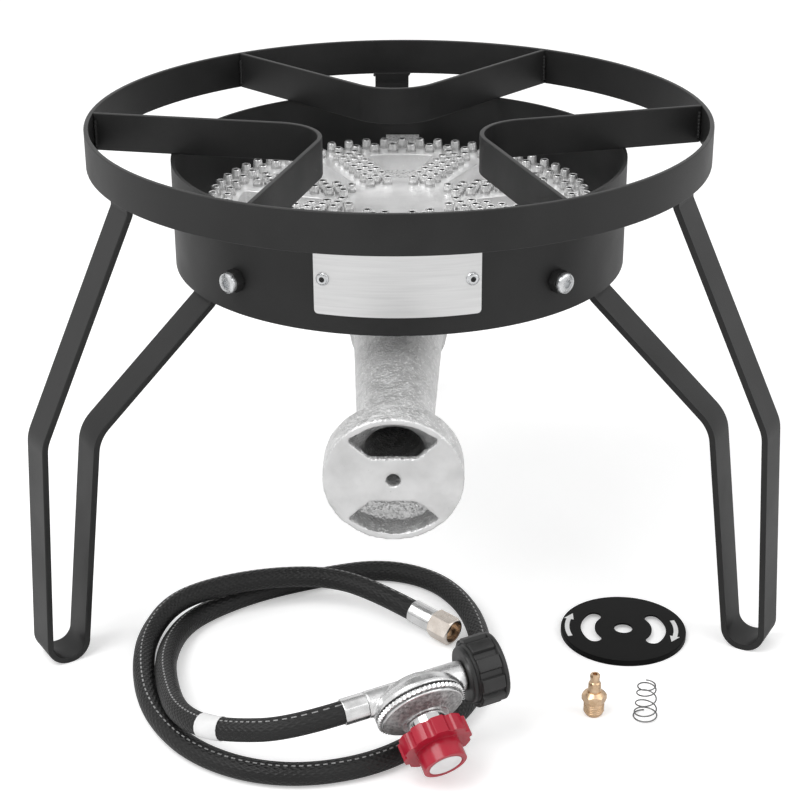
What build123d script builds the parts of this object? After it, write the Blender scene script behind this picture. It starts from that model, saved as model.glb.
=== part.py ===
from build123d import *
import math
import os

# Free-standing outdoor gas stove: a welded bar stand with a wind screen, a cast jet burner with
# its mixer tube, and the loose kit that lies in front of it: air shutter, orifice, spring and hose.
# Millimetres, +Z up, the stove's axis on Z, the floor at Z = 0, the front towards -Y.

# Stand: ring, pot bars and legs of flat bar
stove_height = 324.0
ring_diameter = 406.0
bar_width = 25.0
bar_thickness = 3.0
frame_turn = 2.5
trivet_spread = 33.5
trivet_corner = 48.0
trivet_bend = 34.0
leg_thickness = 4.0
leg_ring_lap = 20.0
leg_screen_lap = 7.0
tab_bend = 5.0
knee_bend = 24.0
foot_bend = 12.0
outer_knee_reach = 61.0
outer_knee_height = 156.0
foot_reach = 70.0
foot_width = 24.6
inner_knee_step = 19.0
inner_knee_height = 153.0
weld_gap = 0.1

# Wind screen and its blank plate
screen_diameter = 298.0
screen_height = 70.0
screen_sheet = 2.0
plate_width = 102.3
plate_height = 45.0
plate_lift = 12.0
plate_sheet = 1.0
plate_corner = 2.5
plate_turn = 0.5
rivet_spacing = 90.0
rivet_diameter = 3.2
rivet_head_diameter = 7.2
rivet_head_height = 1.5
rivet_slack = 0.3

# Burner head: hollow casting with a rim, eight arms and eight sunk fans, closed by a plate of jets
head_diameter = 257.0
head_depth = 32.5
head_sink = 34.5
jet_plate_thickness = 6.0
hub_radius = 50.0
hub_drop = 4.5
arm_count = 8
arm_channel = 20.0
core_radius = 46.0
rim_wall = 3.5
rim_channel = 14.0
cavity_floor = 4.0
fan_inner = 51.5
fan_wall = 4.0
fan_inner_width = 12.4
fan_outer_width = 46.0
fan_depth = 12.0
fan_web = 5.0
jet_diameter = 7.0
jet_height = 5.5
rim_jet_height = 6.5
port_diameter = 3.6
outer_row_inset = 5.0
outer_row_jets = 60
row_spacing = 9.5
inner_row_jets = 54
arm_row_offset = 6.2
arm_row_start = 38.0
arm_row_pitch = 10.7
side_row_jets = 7
middle_row_jets = 6
lug_width = 24.0
lug_rise = 3.0
lug_drop = 26.5
lug_clearance = 1.5

# Bolts that hold the burner in the wind screen, through nuts welded on the outside
front_bolt_spread = 41.0
bolt_drop = 13.3
bolt_diameter = 8.0
bolt_tip_gap = 2.0
bolt_head_diameter = 13.3
bolt_head_height = 4.0
bolt_socket_diameter = 5.5
bolt_socket_depth = 2.5
nut_across_flats = 13.0
nut_thickness = 5.5
thread_clearance = 0.1

# Mixer tube: elbow under the head, tapering tube and bell with two air openings
tube_slope = 6.0
tube_length = 239.5
elbow_drop = 24.3
elbow_radius = 32.0
root_radius = 29.0
root_ledge_radius = 31.5
root_ledge_start = 48.0
root_ledge_length = 14.0
throat_radius = 22.5
throat_length = 17.0
bell_radius = 40.5
bell_band = 20.0
bell_shoulder = 17.0
bell_wall = 4.0
tube_wall = 5.0
bell_web = 5.0
opening_edge = 14.2
opening_half_width = 13.3
opening_corner_angle = 45.0
flange_thickness = 6.0
flange_neck_radius = 36.0
flange_ear_radius = 10.0
flange_bolt_offset = 40.0
gasket_thickness = 1.5
inlet_radius = 25.0
mixer_bolt_head = 5.3

# Air shutter, orifice and spring, lying on the floor
shutter_x = 149.3
shutter_y = -110.7
shutter_turn = -4.0
shutter_diameter = 82.8
shutter_height = 4.0
shutter_sheet = 1.2
shutter_hole = 12.0
slot_radius = 23.5
slot_width = 9.3
slot_arc = 71.0
orifice_x = 122.3
orifice_y = -206.8
orifice_end_diameter = 12.4
orifice_end_height = 10.0
orifice_end_chamfer = 2.6
orifice_across_flats = 13.5
orifice_hex_height = 7.0
orifice_neck_diameter = 8.0
orifice_neck_height = 9.0
orifice_tip_diameter = 5.4
orifice_tip_height = 3.0
orifice_bore = 1.4
orifice_inlet_bore = 6.0
orifice_fit = 0.1
spring_x = 153.9
spring_y = -210.0
spring_base_diameter = 15.7
spring_top_diameter = 11.2
spring_height = 24.0
spring_turns = 5
spring_wire = 0.9
spring_end_slope = 0.3
spring_nudge = 1e-5
samples_per_turn = 48

# Regulator pose: its centre, the heading and rise of its ports, and the dip of its knob
regulator_x = 11.1
regulator_y = -251.8
regulator_z = 45.6
port_heading = 23.0
port_rise = 5.0
knob_dip = 30.0

# Regulator body, with ports along one axis and the knob along the other
outlet_reach = 30.0
inlet_reach = 31.5
inlet_step = 9.5
outlet_boss_radius = 8.2
inlet_boss_radius = 9.5
case_radius = 27.5
case_lip = 2.5
case_top = 10.0
case_belly_radius = 25.0
case_belly = 3.0
case_back_radius = 15.0
case_back = -4.0
chamber_radius = 22.0
chamber_depth = 4.0
port_bore = 3.0
seat_bore = 1.5
seat_station = 6.0
valve_well_radius = 2.6
valve_well_floor = -3.0
valve_pin_radius = 2.0
outlet_well_station = 14.0
diaphragm_sheet = 1.0
diaphragm_inset = 1.0
bonnet_rim = 3.5
bonnet_rise = 5.5
bonnet_shoulder_radius = 24.5
bonnet_crown_radius = 14.0
bonnet_wall = 2.5
bonnet_teeth = 36
tooth_notch_radius = 1.0
neck_radius = 9.0
neck_bore = 7.1
neck_height = 11.0
collar_radius = 11.6
collar_height = 8.2
seat_gap = 0.05
slip_fit = 0.06
plate_radius = 9.0
seat_plate = 1.3
control_spring_diameter = 11.6
control_spring_wire = 1.2
control_spring_turns = 4
control_spring_height = 8.0
control_spring_end_slope = 1.0
screw_travel = 3.0
travel_gap = 0.5
cup_thickness = 2.5
cup_gap = 0.3
screw_rise = 2.0
stem_radius = 4.0

# Knob with a lobed skirt and a round cap
skirt_radius = 21.3
skirt_height = 10.5
skirt_gap = 5.5
skirt_lobes = 10
lobe_groove_radius = 3.4
lobe_groove_depth = 1.7
cap_radius = 13.4
cap_height = 11.5
cap_end_wall = 5.0
knob_hollow_radius = 13.3
knob_hollow_gap = 1.5
label_radius = 10.8
label_sheet = 0.4

# Coupling nut, nipple and seal on the inlet
nipple_radius = 6.5
nipple_thread = 10.0
nipple_reach = 16.0
nipple_shoulder_radius = 12.0
nipple_shoulder = 3.0
nipple_shoulder_station = 5.0
nut_gap = 0.5
nut_back_wall = 4.0
nut_collar_length = 6.0
nut_collar_radius = 17.5
nut_length = 22.0
nut_radius = 21.0
nut_wall = 4.5
nut_ribs = 10
nut_groove_radius = 2.2
running_gap = 0.3
seal_radius = 9.5
seal_length = 4.0
seal_inset = 4.0

# Hose, its crimped ferrules, its flare end and a wrapped band
hose_diameter = 14.0
hose_bore = 8.0
ferrule_radius = 8.0
ferrule_length = 15.0
hose_lead = 33.3
hose_bend_share = 0.45
flare_ferrule_length = 18.0
tail_radius = 4.6
tail_bore = 3.0
tail_collar_radius = 6.4
tail_collar = 3.0
flare_nut_flats = 17.0
flare_nut_length = 16.0
flare_nut_wall = 5.0
tail_collar_gap = 0.8
band_sheet = 0.4
band_bend_number = 2
band_start = 0.30
band_end = 0.60

# Where the hose lies, from the regulator round two loops to the flare nut
hose_points = [
    (-86.6, -279.6, 33.5),
    (-107.9, -264.7, 28.5),
    (-119.3, -241.3, 23.5),
    (-133.4, -214.8, 18.0),
    (-149.9, -172.8, 11.0),
    (-146.7, -126.7, 7.5),
    (-130.3, -94.4, 7.1),
    (-93.8, -67.7, 7.1),
    (-54.1, -49.0, 7.1),
    (-13.4, -33.3, 7.1),
    (22.9, -47.6, 7.1),
    (44.5, -83.2, 7.1),
    (54.3, -126.0, 7.1),
    (58.1, -171.0, 7.1),
    (48.9, -211.1, 7.1),
    (22.4, -241.6, 7.1),
    (-15.2, -261.3, 7.1),
    (-55.0, -271.0, 7.1),
    (-93.2, -263.8, 7.1),
    (-128.6, -243.4, 7.1),
    (-156.2, -208.9, 7.1),
    (-169.0, -166.1, 7.1),
    (-173.8, -121.2, 7.1),
    (-158.4, -86.9, 10.0),
    (-122.8, -65.3, 17.0),
    (-82.9, -60.5, 22.5),
    (-46.8, -67.9, 22.0),
    (-16.4, -85.3, 17.4),
    (10.0, -106.8, 14.0),
]

# Values that follow from the sizes above
half_bar = bar_width / 2
ring_bottom = stove_height - bar_width
ring_inner = ring_diameter / 2 - bar_thickness
screen_radius = screen_diameter / 2
screen_inner = screen_radius - screen_sheet
screen_bottom = ring_bottom - screen_height
head_radius = head_diameter / 2
head_top = ring_bottom - head_sink
head_bottom = head_top - head_depth
hub_bottom = head_bottom - hub_drop
flange_top = hub_bottom - gasket_thickness
bolt_height = head_top - bolt_drop
bolt_hole = bolt_diameter / 2 + thread_clearance
frame_azimuths = {"back": 90 + frame_turn, "left": 210 + frame_turn, "right": 330 + frame_turn}
bolt_azimuths = (90, 270 - front_bolt_spread, 270 + front_bolt_spread)
upright = (Align.CENTER, Align.CENTER, Align.MIN)
hanging = (Align.CENTER, Align.CENTER, Align.MAX)


def cosine(angle):
    return math.cos(math.radians(angle))


def sine(angle):
    return math.sin(math.radians(angle))


# A plane whose normal points away from the stove's axis
def radial_plane(azimuth, radius, height):
    outward = Vector(cosine(azimuth), sine(azimuth), 0)
    origin = outward * radius + Vector(0, 0, height)
    return Plane(origin=origin, x_dir=(-sine(azimuth), cosine(azimuth), 0), z_dir=outward)


def finish(shape, name):
    shape.part.label = name
    os.makedirs("parts", exist_ok=True)
    export_step(shape.part, f"parts/{name}.step")


# Ring that pots stand on
with BuildPart() as pot_ring:
    with BuildSketch(Plane.XY.offset(ring_bottom)):
        Circle(ring_diameter / 2)
        Circle(ring_inner, mode=Mode.SUBTRACT)
    extrude(amount=bar_width)
finish(pot_ring, "pot_ring")


# Bent pot bar, a V that points at the middle, cut to the inside of the ring
def make_trivet(azimuth):
    corner = Vector(trivet_corner, 0)
    arm_end = Vector(cosine(trivet_spread), sine(trivet_spread)) * ring_inner
    past_end = arm_end + (arm_end - corner).normalized() * bar_width
    with BuildPart() as trivet:
        with BuildSketch(Plane.XY.offset(ring_bottom).rotated((0, 0, azimuth))):
            with BuildLine():
                FilletPolyline(past_end, corner, (past_end.X, -past_end.Y), radius=trivet_bend)
            trace(line_width=bar_thickness)
        extrude(amount=bar_width)
        with BuildSketch(Plane.XY.offset(ring_bottom)):
            Circle(ring_inner - weld_gap)
        extrude(amount=bar_width, mode=Mode.INTERSECT)
    return trivet


# Leg: up inside the ring, out to a knee, round the foot, back to a knee and up inside the screen
def make_leg(azimuth):
    ring_tab = math.sqrt(ring_inner**2 - half_bar**2) - weld_gap - leg_thickness / 2
    screen_tab = math.sqrt(screen_inner**2 - half_bar**2) - weld_gap - leg_thickness / 2
    foot_level = leg_thickness / 2
    foot_outer = ring_diameter / 2 + foot_reach
    foot_inner = foot_outer - foot_width
    path = [
        (ring_tab, ring_bottom + leg_ring_lap),
        (ring_tab, ring_bottom - tab_bend),
        (ring_diameter / 2 + outer_knee_reach, outer_knee_height),
        (foot_outer, foot_level),
        (foot_inner, foot_level),
        (foot_inner - inner_knee_step, inner_knee_height),
        (screen_tab, screen_bottom - tab_bend / 2),
        (screen_tab, screen_bottom + leg_screen_lap),
    ]
    bends = [tab_bend, knee_bend, foot_bend, foot_bend, knee_bend, tab_bend]
    outward = (cosine(azimuth), sine(azimuth), 0)
    sideways = (sine(azimuth), -cosine(azimuth), 0)
    with BuildPart() as leg:
        with BuildSketch(Plane(origin=(0, 0, 0), x_dir=outward, z_dir=sideways)):
            with BuildLine():
                FilletPolyline(*path, radius=bends)
            trace(line_width=leg_thickness)
        extrude(amount=half_bar, both=True)
    return leg


for side, azimuth in frame_azimuths.items():
    finish(make_trivet(azimuth), f"trivet_{side}")
    finish(make_leg(azimuth), f"leg_{side}")

# Wind screen: a rolled sheet with holes for the burner bolts and the plate's rivets
bolt_planes = [radial_plane(azimuth, screen_radius, bolt_height) for azimuth in bolt_azimuths]
plate_bottom = screen_bottom + plate_lift
rivet_height = plate_bottom + plate_height / 2
rivet_turn = math.degrees(rivet_spacing / 2 / screen_radius)
plate_azimuth = 270 + plate_turn
rivet_azimuths = (plate_azimuth - rivet_turn, plate_azimuth + rivet_turn)
rivet_planes = [radial_plane(azimuth, screen_radius, rivet_height) for azimuth in rivet_azimuths]
rivet_hole = rivet_diameter / 2 + thread_clearance
hole_depth = 2 * (screen_sheet + plate_sheet)
with BuildPart() as windscreen:
    with BuildSketch(Plane.XY.offset(screen_bottom)):
        Circle(screen_radius)
        Circle(screen_inner, mode=Mode.SUBTRACT)
    extrude(amount=screen_height)
    with Locations(*bolt_planes):
        Cylinder(bolt_hole, hole_depth, mode=Mode.SUBTRACT)
    with Locations(*rivet_planes):
        Cylinder(rivet_hole, hole_depth, mode=Mode.SUBTRACT)
finish(windscreen, "windscreen")

# Blank plate, rolled to the screen
plate_inner = screen_radius + weld_gap
plate_outer = plate_inner + plate_sheet
plate_arc = math.degrees(plate_width / plate_outer)
with BuildPart() as nameplate:
    with BuildSketch(Plane.XY.offset(plate_bottom)):
        with BuildLine():
            inside = CenterArc((0, 0), plate_inner, plate_azimuth - plate_arc / 2, plate_arc)
            outside = CenterArc((0, 0), plate_outer, plate_azimuth - plate_arc / 2, plate_arc)
            Line(inside @ 0, outside @ 0)
            Line(inside @ 1, outside @ 1)
        make_face()
    extrude(amount=plate_height)
    fillet(nameplate.edges().filter_by(lambda edge: edge.length < plate_sheet + weld_gap), plate_corner)
    with Locations(*rivet_planes):
        Cylinder(rivet_hole, hole_depth, mode=Mode.SUBTRACT)
finish(nameplate, "nameplate")

# Rivets through plate and screen, headed on both sides
rivet_seats = [plane.offset(plate_outer + weld_gap - screen_radius) for plane in rivet_planes]
rivet_grip = plate_outer - screen_inner + rivet_slack
with BuildPart() as nameplate_rivets:
    with Locations(*rivet_seats):
        Cylinder(rivet_diameter / 2, rivet_grip, align=hanging)
        Cone(rivet_head_diameter / 2, rivet_diameter / 2, rivet_head_height, align=upright)
    with Locations(*[plane.offset(-rivet_grip) for plane in rivet_seats]):
        Cylinder(rivet_head_diameter / 2, rivet_head_height, align=hanging)
finish(nameplate_rivets, "nameplate_rivets")

# Sunk fan between two arms, drawn along +X and turned into place
rim_channel_outer = head_radius - rim_wall
rim_channel_inner = rim_channel_outer - rim_channel
fan_outer = rim_channel_inner - fan_wall
fan_side = math.sqrt(fan_outer**2 - (fan_outer_width / 2) ** 2)
with BuildSketch() as fan:
    with BuildLine():
        Line((fan_inner, -fan_inner_width / 2), (fan_inner, fan_inner_width / 2))
        Line((fan_inner, fan_inner_width / 2), (fan_side, fan_outer_width / 2))
        ThreePointArc((fan_side, fan_outer_width / 2), (fan_outer, 0), (fan_side, -fan_outer_width / 2))
        Line((fan_side, -fan_outer_width / 2), (fan_inner, -fan_inner_width / 2))
    make_face()

arm_angle = 360 / arm_count
outer_row_radius = head_radius - outer_row_inset
inner_row_radius = outer_row_radius - row_spacing
side_row = [arm_row_start + arm_row_pitch * step for step in range(side_row_jets)]
middle_row = [arm_row_start + arm_row_pitch * (step + 0.5) for step in range(middle_row_jets)]
arm_jets = [(along, side * arm_row_offset) for along in side_row for side in (-1, 1)]
arm_jets += [(along, 0) for along in middle_row]


# Circles at every low jet: the inner rim row and three rows on each arm
def low_jet_circles(radius):
    with PolarLocations(inner_row_radius, inner_row_jets):
        Circle(radius)
    with PolarLocations(0, arm_count, start_angle=arm_angle / 2):
        with Locations(*arm_jets):
            Circle(radius)


def rim_jet_circles(radius):
    with PolarLocations(outer_row_radius, outer_row_jets):
        Circle(radius)


# Burner head in one, before its jet plate is parted from the bowl
lug_face = screen_inner - lug_clearance
lug_root = head_radius - rim_wall / 2
lug_height = lug_rise + lug_drop
plate_seat = head_top - jet_plate_thickness
with BuildPart() as whole_head:
    with BuildSketch(Plane.XY.offset(head_bottom)):
        Circle(head_radius)
    extrude(amount=head_depth)
    with BuildSketch(Plane.XY.offset(hub_bottom)):
        Circle(hub_radius)
    extrude(amount=hub_drop)
    with BuildSketch(Plane.XY.offset(head_top)):
        with PolarLocations(0, arm_count):
            add(fan.sketch)
    extrude(amount=-fan_depth, mode=Mode.SUBTRACT)
    with BuildSketch(Plane.XY.offset(head_bottom)):
        with PolarLocations(0, arm_count):
            add(fan.sketch)
    extrude(amount=head_depth - fan_depth - fan_web, mode=Mode.SUBTRACT)
    with BuildSketch(Plane.XY.offset(head_bottom + cavity_floor)):
        Circle(rim_channel_outer)
        Circle(rim_channel_inner, mode=Mode.SUBTRACT)
        Circle(core_radius)
        with PolarLocations(0, arm_count, start_angle=arm_angle / 2):
            Rectangle(rim_channel_outer - rim_channel / 2, arm_channel, align=(Align.MIN, Align.CENTER))
    extrude(amount=head_depth - cavity_floor - jet_plate_thickness, mode=Mode.SUBTRACT)
    with BuildSketch(Plane.XY.offset(hub_bottom)):
        Circle(inlet_radius)
    extrude(amount=hub_drop + cavity_floor, mode=Mode.SUBTRACT)
    with BuildSketch(Plane.XY.offset(hub_bottom)):
        with Locations((-flange_bolt_offset, 0), (flange_bolt_offset, 0)):
            Circle(bolt_hole)
    extrude(amount=hub_drop + cavity_floor / 2, mode=Mode.SUBTRACT)
    with BuildSketch(Plane.XY.offset(head_top)):
        low_jet_circles(jet_diameter / 2)
    extrude(amount=jet_height)
    with BuildSketch(Plane.XY.offset(head_top)):
        rim_jet_circles(jet_diameter / 2)
    extrude(amount=rim_jet_height)
    with BuildSketch(Plane.XY.offset(plate_seat)):
        low_jet_circles(port_diameter / 2)
        rim_jet_circles(port_diameter / 2)
    extrude(amount=jet_plate_thickness + rim_jet_height, mode=Mode.SUBTRACT)

with BuildPart() as jet_plate:
    add(whole_head.part)
    with BuildSketch(Plane.XY.offset(plate_seat)):
        Circle(head_radius)
    extrude(amount=jet_plate_thickness + rim_jet_height, mode=Mode.INTERSECT)
finish(jet_plate, "jet_plate")

# Bowl under the plate, with a lug at each burner bolt
with BuildPart() as burner_head:
    add(whole_head.part)
    with BuildSketch(Plane.XY.offset(plate_seat)):
        Circle(head_radius)
    extrude(amount=jet_plate_thickness + rim_jet_height, mode=Mode.SUBTRACT)
    for azimuth in bolt_azimuths:
        with BuildSketch(radial_plane(azimuth, lug_face, head_top + lug_rise - lug_height / 2)):
            Rectangle(lug_width, lug_height)
        extrude(amount=-(lug_face - lug_root))
    with BuildSketch(Plane.XY.offset(plate_seat)):
        Circle(head_radius + weld_gap)
    extrude(amount=jet_plate_thickness + lug_rise, mode=Mode.SUBTRACT)
    with Locations(*[radial_plane(azimuth, lug_face, bolt_height) for azimuth in bolt_azimuths]):
        Cylinder(bolt_hole, lug_face - head_radius, align=hanging, mode=Mode.SUBTRACT)
finish(burner_head, "burner_head")

# Nuts welded on the screen, and the socket-head bolts through them into the burner's lugs
with BuildPart() as weld_nuts:
    for plane in bolt_planes:
        with BuildSketch(plane.offset(weld_gap)):
            RegularPolygon(nut_across_flats / 2, 6, major_radius=False)
            Circle(bolt_hole, mode=Mode.SUBTRACT)
        extrude(amount=nut_thickness)
finish(weld_nuts, "weld_nuts")

bolt_seats = [plane.offset(2 * weld_gap + nut_thickness) for plane in bolt_planes]
bolt_length = screen_radius + 2 * weld_gap + nut_thickness - head_radius - bolt_tip_gap
with BuildPart() as burner_bolts:
    with Locations(*bolt_seats):
        Cylinder(bolt_diameter / 2, bolt_length, align=hanging)
        Cylinder(bolt_head_diameter / 2, bolt_head_height, align=upright)
    for plane in bolt_seats:
        with BuildSketch(plane.offset(bolt_head_height)):
            RegularPolygon(bolt_socket_diameter / 2, 6)
        extrude(amount=-bolt_socket_depth, mode=Mode.SUBTRACT)
finish(burner_bolts, "burner_bolts")

# Mixer tube, drawn in a section along its sloping axis: x runs out from the elbow, y up
elbow = Vector(0, 0, flange_top - elbow_drop)
tube_direction = Vector(0, -cosine(tube_slope), -sine(tube_slope))
tube_section = Plane(origin=elbow, x_dir=tube_direction, z_dir=(-1, 0, 0))
tube_axis = Axis(elbow, tube_direction)
bell_face = Plane(origin=elbow + tube_direction * tube_length, x_dir=(1, 0, 0), z_dir=tube_direction)
ledge_end = root_ledge_start + root_ledge_length
band_station = tube_length - bell_band
flare_station = band_station - bell_shoulder
throat_station = flare_station - throat_length
bell_inside = bell_radius - bell_wall
throat_inside = throat_radius - tube_wall
web_station = tube_length - bell_web
bell_inner_start = (band_station + bell_wall, bell_inside)
opening_corner = (bell_inside * sine(opening_corner_angle), bell_inside * cosine(opening_corner_angle))


# Oval outline that the flange and its gasket share, with bolt holes
def flange_outline():
    with Locations((-flange_bolt_offset, 0), (flange_bolt_offset, 0)):
        Circle(flange_ear_radius)
    Circle(flange_neck_radius)
    make_hull()
    with Locations((-flange_bolt_offset, 0), (flange_bolt_offset, 0)):
        Circle(bolt_hole, mode=Mode.SUBTRACT)
    Circle(inlet_radius, mode=Mode.SUBTRACT)


with BuildPart() as mixer_tube:
    with BuildSketch(tube_section):
        with BuildLine():
            Polyline(
                (0, 0),
                (0, root_radius),
                (root_ledge_start, root_radius),
                (root_ledge_start, root_ledge_radius),
                (ledge_end, root_ledge_radius),
                (ledge_end, root_radius),
                (throat_station, throat_radius),
                (flare_station, throat_radius),
            )
            TangentArc((flare_station, throat_radius), (band_station, bell_radius), tangent=(1, 0))
            Polyline((band_station, bell_radius), (tube_length, bell_radius), (tube_length, 0), (0, 0))
        make_face()
    revolve(axis=tube_axis)
    with Locations(elbow):
        Sphere(elbow_radius)
    with BuildSketch(Plane.XY.offset(elbow.Z)):
        Circle(elbow_radius)
    extrude(amount=elbow_drop)
    with BuildSketch(tube_section):
        with BuildLine():
            Polyline(
                (0, 0),
                (0, root_radius - tube_wall),
                (throat_station, throat_inside),
                (flare_station, throat_inside),
            )
            TangentArc((flare_station, throat_inside), bell_inner_start, tangent=(1, 0))
            Polyline(bell_inner_start, (web_station, bell_inside), (web_station, 0), (0, 0))
        make_face()
    revolve(axis=tube_axis, mode=Mode.SUBTRACT)
    with Locations(elbow):
        Sphere(inlet_radius, mode=Mode.SUBTRACT)
    with BuildSketch(Plane.XY.offset(elbow.Z)):
        Circle(inlet_radius)
    extrude(amount=elbow_drop, mode=Mode.SUBTRACT)
    with BuildSketch(Plane.XY.offset(flange_top)):
        Circle(ledge_end)
    extrude(amount=elbow_radius, mode=Mode.SUBTRACT)
    with BuildSketch(Plane.XY.offset(flange_top - flange_thickness)):
        flange_outline()
    extrude(amount=flange_thickness)
    with BuildSketch(bell_face):
        with BuildLine():
            Polyline(
                (-opening_corner[0], opening_corner[1]),
                (-opening_half_width, opening_edge),
                (opening_half_width, opening_edge),
                opening_corner,
            )
            ThreePointArc(opening_corner, (0, bell_inside), (-opening_corner[0], opening_corner[1]))
        make_face()
        mirror(about=Plane.XZ)
        Circle(orifice_neck_diameter / 2 + orifice_fit)
    extrude(amount=-bell_web, mode=Mode.SUBTRACT)
finish(mixer_tube, "mixer_tube")

with BuildPart() as mixer_gasket:
    with BuildSketch(Plane.XY.offset(flange_top)):
        flange_outline()
    extrude(amount=gasket_thickness)
finish(mixer_gasket, "mixer_gasket")

# Bolts from below, through flange and gasket into blind holes in the hub
flange_bottom = flange_top - flange_thickness
mixer_bolt_reach = hub_bottom + hub_drop + cavity_floor / 2 - bolt_tip_gap / 2 - flange_bottom
with BuildPart() as mixer_bolts:
    with BuildSketch(Plane.XY.offset(flange_bottom)):
        with Locations((-flange_bolt_offset, 0), (flange_bolt_offset, 0)):
            RegularPolygon(nut_across_flats / 2, 6, major_radius=False, rotation=30)
    extrude(amount=-mixer_bolt_head)
    with BuildSketch(Plane.XY.offset(flange_bottom)):
        with Locations((-flange_bolt_offset, 0), (flange_bolt_offset, 0)):
            Circle(bolt_diameter / 2)
    extrude(amount=mixer_bolt_reach)
finish(mixer_bolts, "mixer_bolts")

# Air shutter: a pressed disc with a turned-down rim, and two kidney slots round its hole
shutter_plane = Plane(origin=(shutter_x, shutter_y, 0), x_dir=(cosine(shutter_turn), sine(shutter_turn), 0))
with BuildLine() as slot_line:
    CenterArc((0, 0), slot_radius, -slot_arc / 2, slot_arc)
with BuildPart() as air_shutter:
    with BuildSketch(shutter_plane):
        Circle(shutter_diameter / 2)
        Circle(shutter_hole / 2, mode=Mode.SUBTRACT)
        with PolarLocations(0, 2):
            SlotArc(slot_line.edges()[0], slot_width, mode=Mode.SUBTRACT)
    extrude(amount=shutter_height)
    with BuildSketch(shutter_plane):
        Circle(shutter_diameter / 2 - shutter_sheet)
    extrude(amount=shutter_height - shutter_sheet, mode=Mode.SUBTRACT)
finish(air_shutter, "air_shutter")

# Brass orifice, standing on its cone end
orifice_section = Plane(origin=(orifice_x, orifice_y, 0), x_dir=(1, 0, 0), z_dir=(0, -1, 0))
hex_bottom = orifice_end_height
hex_top = hex_bottom + orifice_hex_height
neck_end = hex_top + orifice_neck_height
orifice_top = neck_end + orifice_tip_height
with BuildPart() as orifice_fitting:
    with BuildSketch(orifice_section):
        with BuildLine():
            Polyline(
                (0, 0),
                (orifice_end_diameter / 2 - orifice_end_chamfer, 0),
                (orifice_end_diameter / 2, orifice_end_chamfer),
                (orifice_end_diameter / 2, hex_top - orifice_hex_height / 2),
                (orifice_neck_diameter / 2, hex_top - orifice_hex_height / 2),
                (orifice_neck_diameter / 2, neck_end),
                (orifice_tip_diameter / 2, neck_end),
                (orifice_tip_diameter / 2, orifice_top),
                (0, orifice_top),
                (0, 0),
            )
        make_face()
    revolve(axis=Axis((orifice_x, orifice_y, 0), (0, 0, 1)))
    with BuildSketch(Plane(origin=(orifice_x, orifice_y, hex_bottom))):
        RegularPolygon(orifice_across_flats / 2, 6, major_radius=False)
    extrude(amount=orifice_hex_height)
    with Locations((orifice_x, orifice_y, 0)):
        Cylinder(orifice_inlet_bore / 2, hex_top, align=upright, mode=Mode.SUBTRACT)
        Cylinder(orifice_bore / 2, orifice_top, align=upright, mode=Mode.SUBTRACT)
finish(orifice_fitting, "orifice_fitting")


# Arc from start to end whose end tangents meet at the given point
def arc_towards(start, meeting, end):
    middle = (start + end) / 2
    half_chord = (start - middle).length
    lift = meeting - middle
    sagitta = half_chord * math.tan(math.atan2(lift.length, half_chord) / 2)
    ThreePointArc(start, middle + lift.normalized() * sagitta, end)


# Two arcs that leave and arrive along the given directions
def biarc(start, leaving, end, arriving):
    chord = end - start
    both = leaving + arriving
    square = 4 - both.dot(both)
    along = chord.dot(both)
    reach = (math.sqrt(along**2 + square * chord.dot(chord)) - along) / square
    first = start + leaving * reach
    second = end - arriving * reach
    join = (first + second) / 2
    arc_towards(start, first, join)
    arc_towards(join, second, end)


# One unbroken wire wound on a plane: quarter-turn biarcs on a helix that tapers and closes at its ends
def make_spring(name, plane, base_diameter, top_diameter, height, turns, wire, end_slope):
    base_radius = (base_diameter - wire) / 2
    taper = (top_diameter - base_diameter) / 2
    climb = height - wire
    ease = (1 - end_slope) / (2 * math.pi)

    def point(share):
        turn = 2 * math.pi * turns * share
        radius = base_radius + taper * share
        rise = wire / 2 + climb * (share - ease * math.sin(2 * math.pi * share))
        return plane.from_local_coords(Vector(radius * math.cos(turn), radius * math.sin(turn), rise))

    def heading(share):
        return (point(share + spring_nudge) - point(share - spring_nudge)).normalized()

    quarters = 4 * turns
    with BuildPart() as spring:
        with BuildLine() as wire_line:
            for quarter in range(quarters):
                start = quarter / quarters
                end = (quarter + 1) / quarters
                biarc(point(start), heading(start), point(end), heading(end))
        with BuildSketch(Plane(origin=wire_line.line @ 0, z_dir=wire_line.line % 0)):
            Circle(wire / 2)
        sweep(path=wire_line.line)
    samples = samples_per_turn * turns
    track = [point(step / samples) for step in range(samples + 1)]
    pairs = [(i, j) for i in range(samples + 1) for j in range(i + samples_per_turn // 2, samples + 1)]
    least = min((track[i] - track[j]).length for i, j in pairs) - wire
    print(name, "least gap between turns", round(least, 2))
    return spring


spring_floor = Plane(origin=(spring_x, spring_y, 0))
shutter_spring = make_spring(
    "shutter_spring",
    spring_floor,
    spring_base_diameter,
    spring_top_diameter,
    spring_height,
    spring_turns,
    spring_wire,
    spring_end_slope,
)
finish(shutter_spring, "shutter_spring")

# Regulator frame: ports along one direction, knob along the other, section with x along the ports
centre = Vector(regulator_x, regulator_y, regulator_z)
port_level = cosine(port_rise)
ports = Vector(port_level * cosine(port_heading), port_level * sine(port_heading), sine(port_rise))
sideways = Vector(sine(port_heading), -cosine(port_heading), 0)
knob_out = sideways * cosine(knob_dip) - sideways.cross(ports) * sine(knob_dip)
section = Plane(origin=centre, x_dir=ports, z_dir=ports.cross(knob_out))
knob_axis = Axis(centre, knob_out)
port_axis = Axis(centre, ports)


# Planes square to the knob's axis and to the ports, at a station along them
def knob_plane(station):
    return Plane(origin=centre + knob_out * station, x_dir=ports, z_dir=knob_out)


def port_plane(station):
    return Plane(origin=centre + ports * station, x_dir=knob_out, z_dir=ports)


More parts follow.
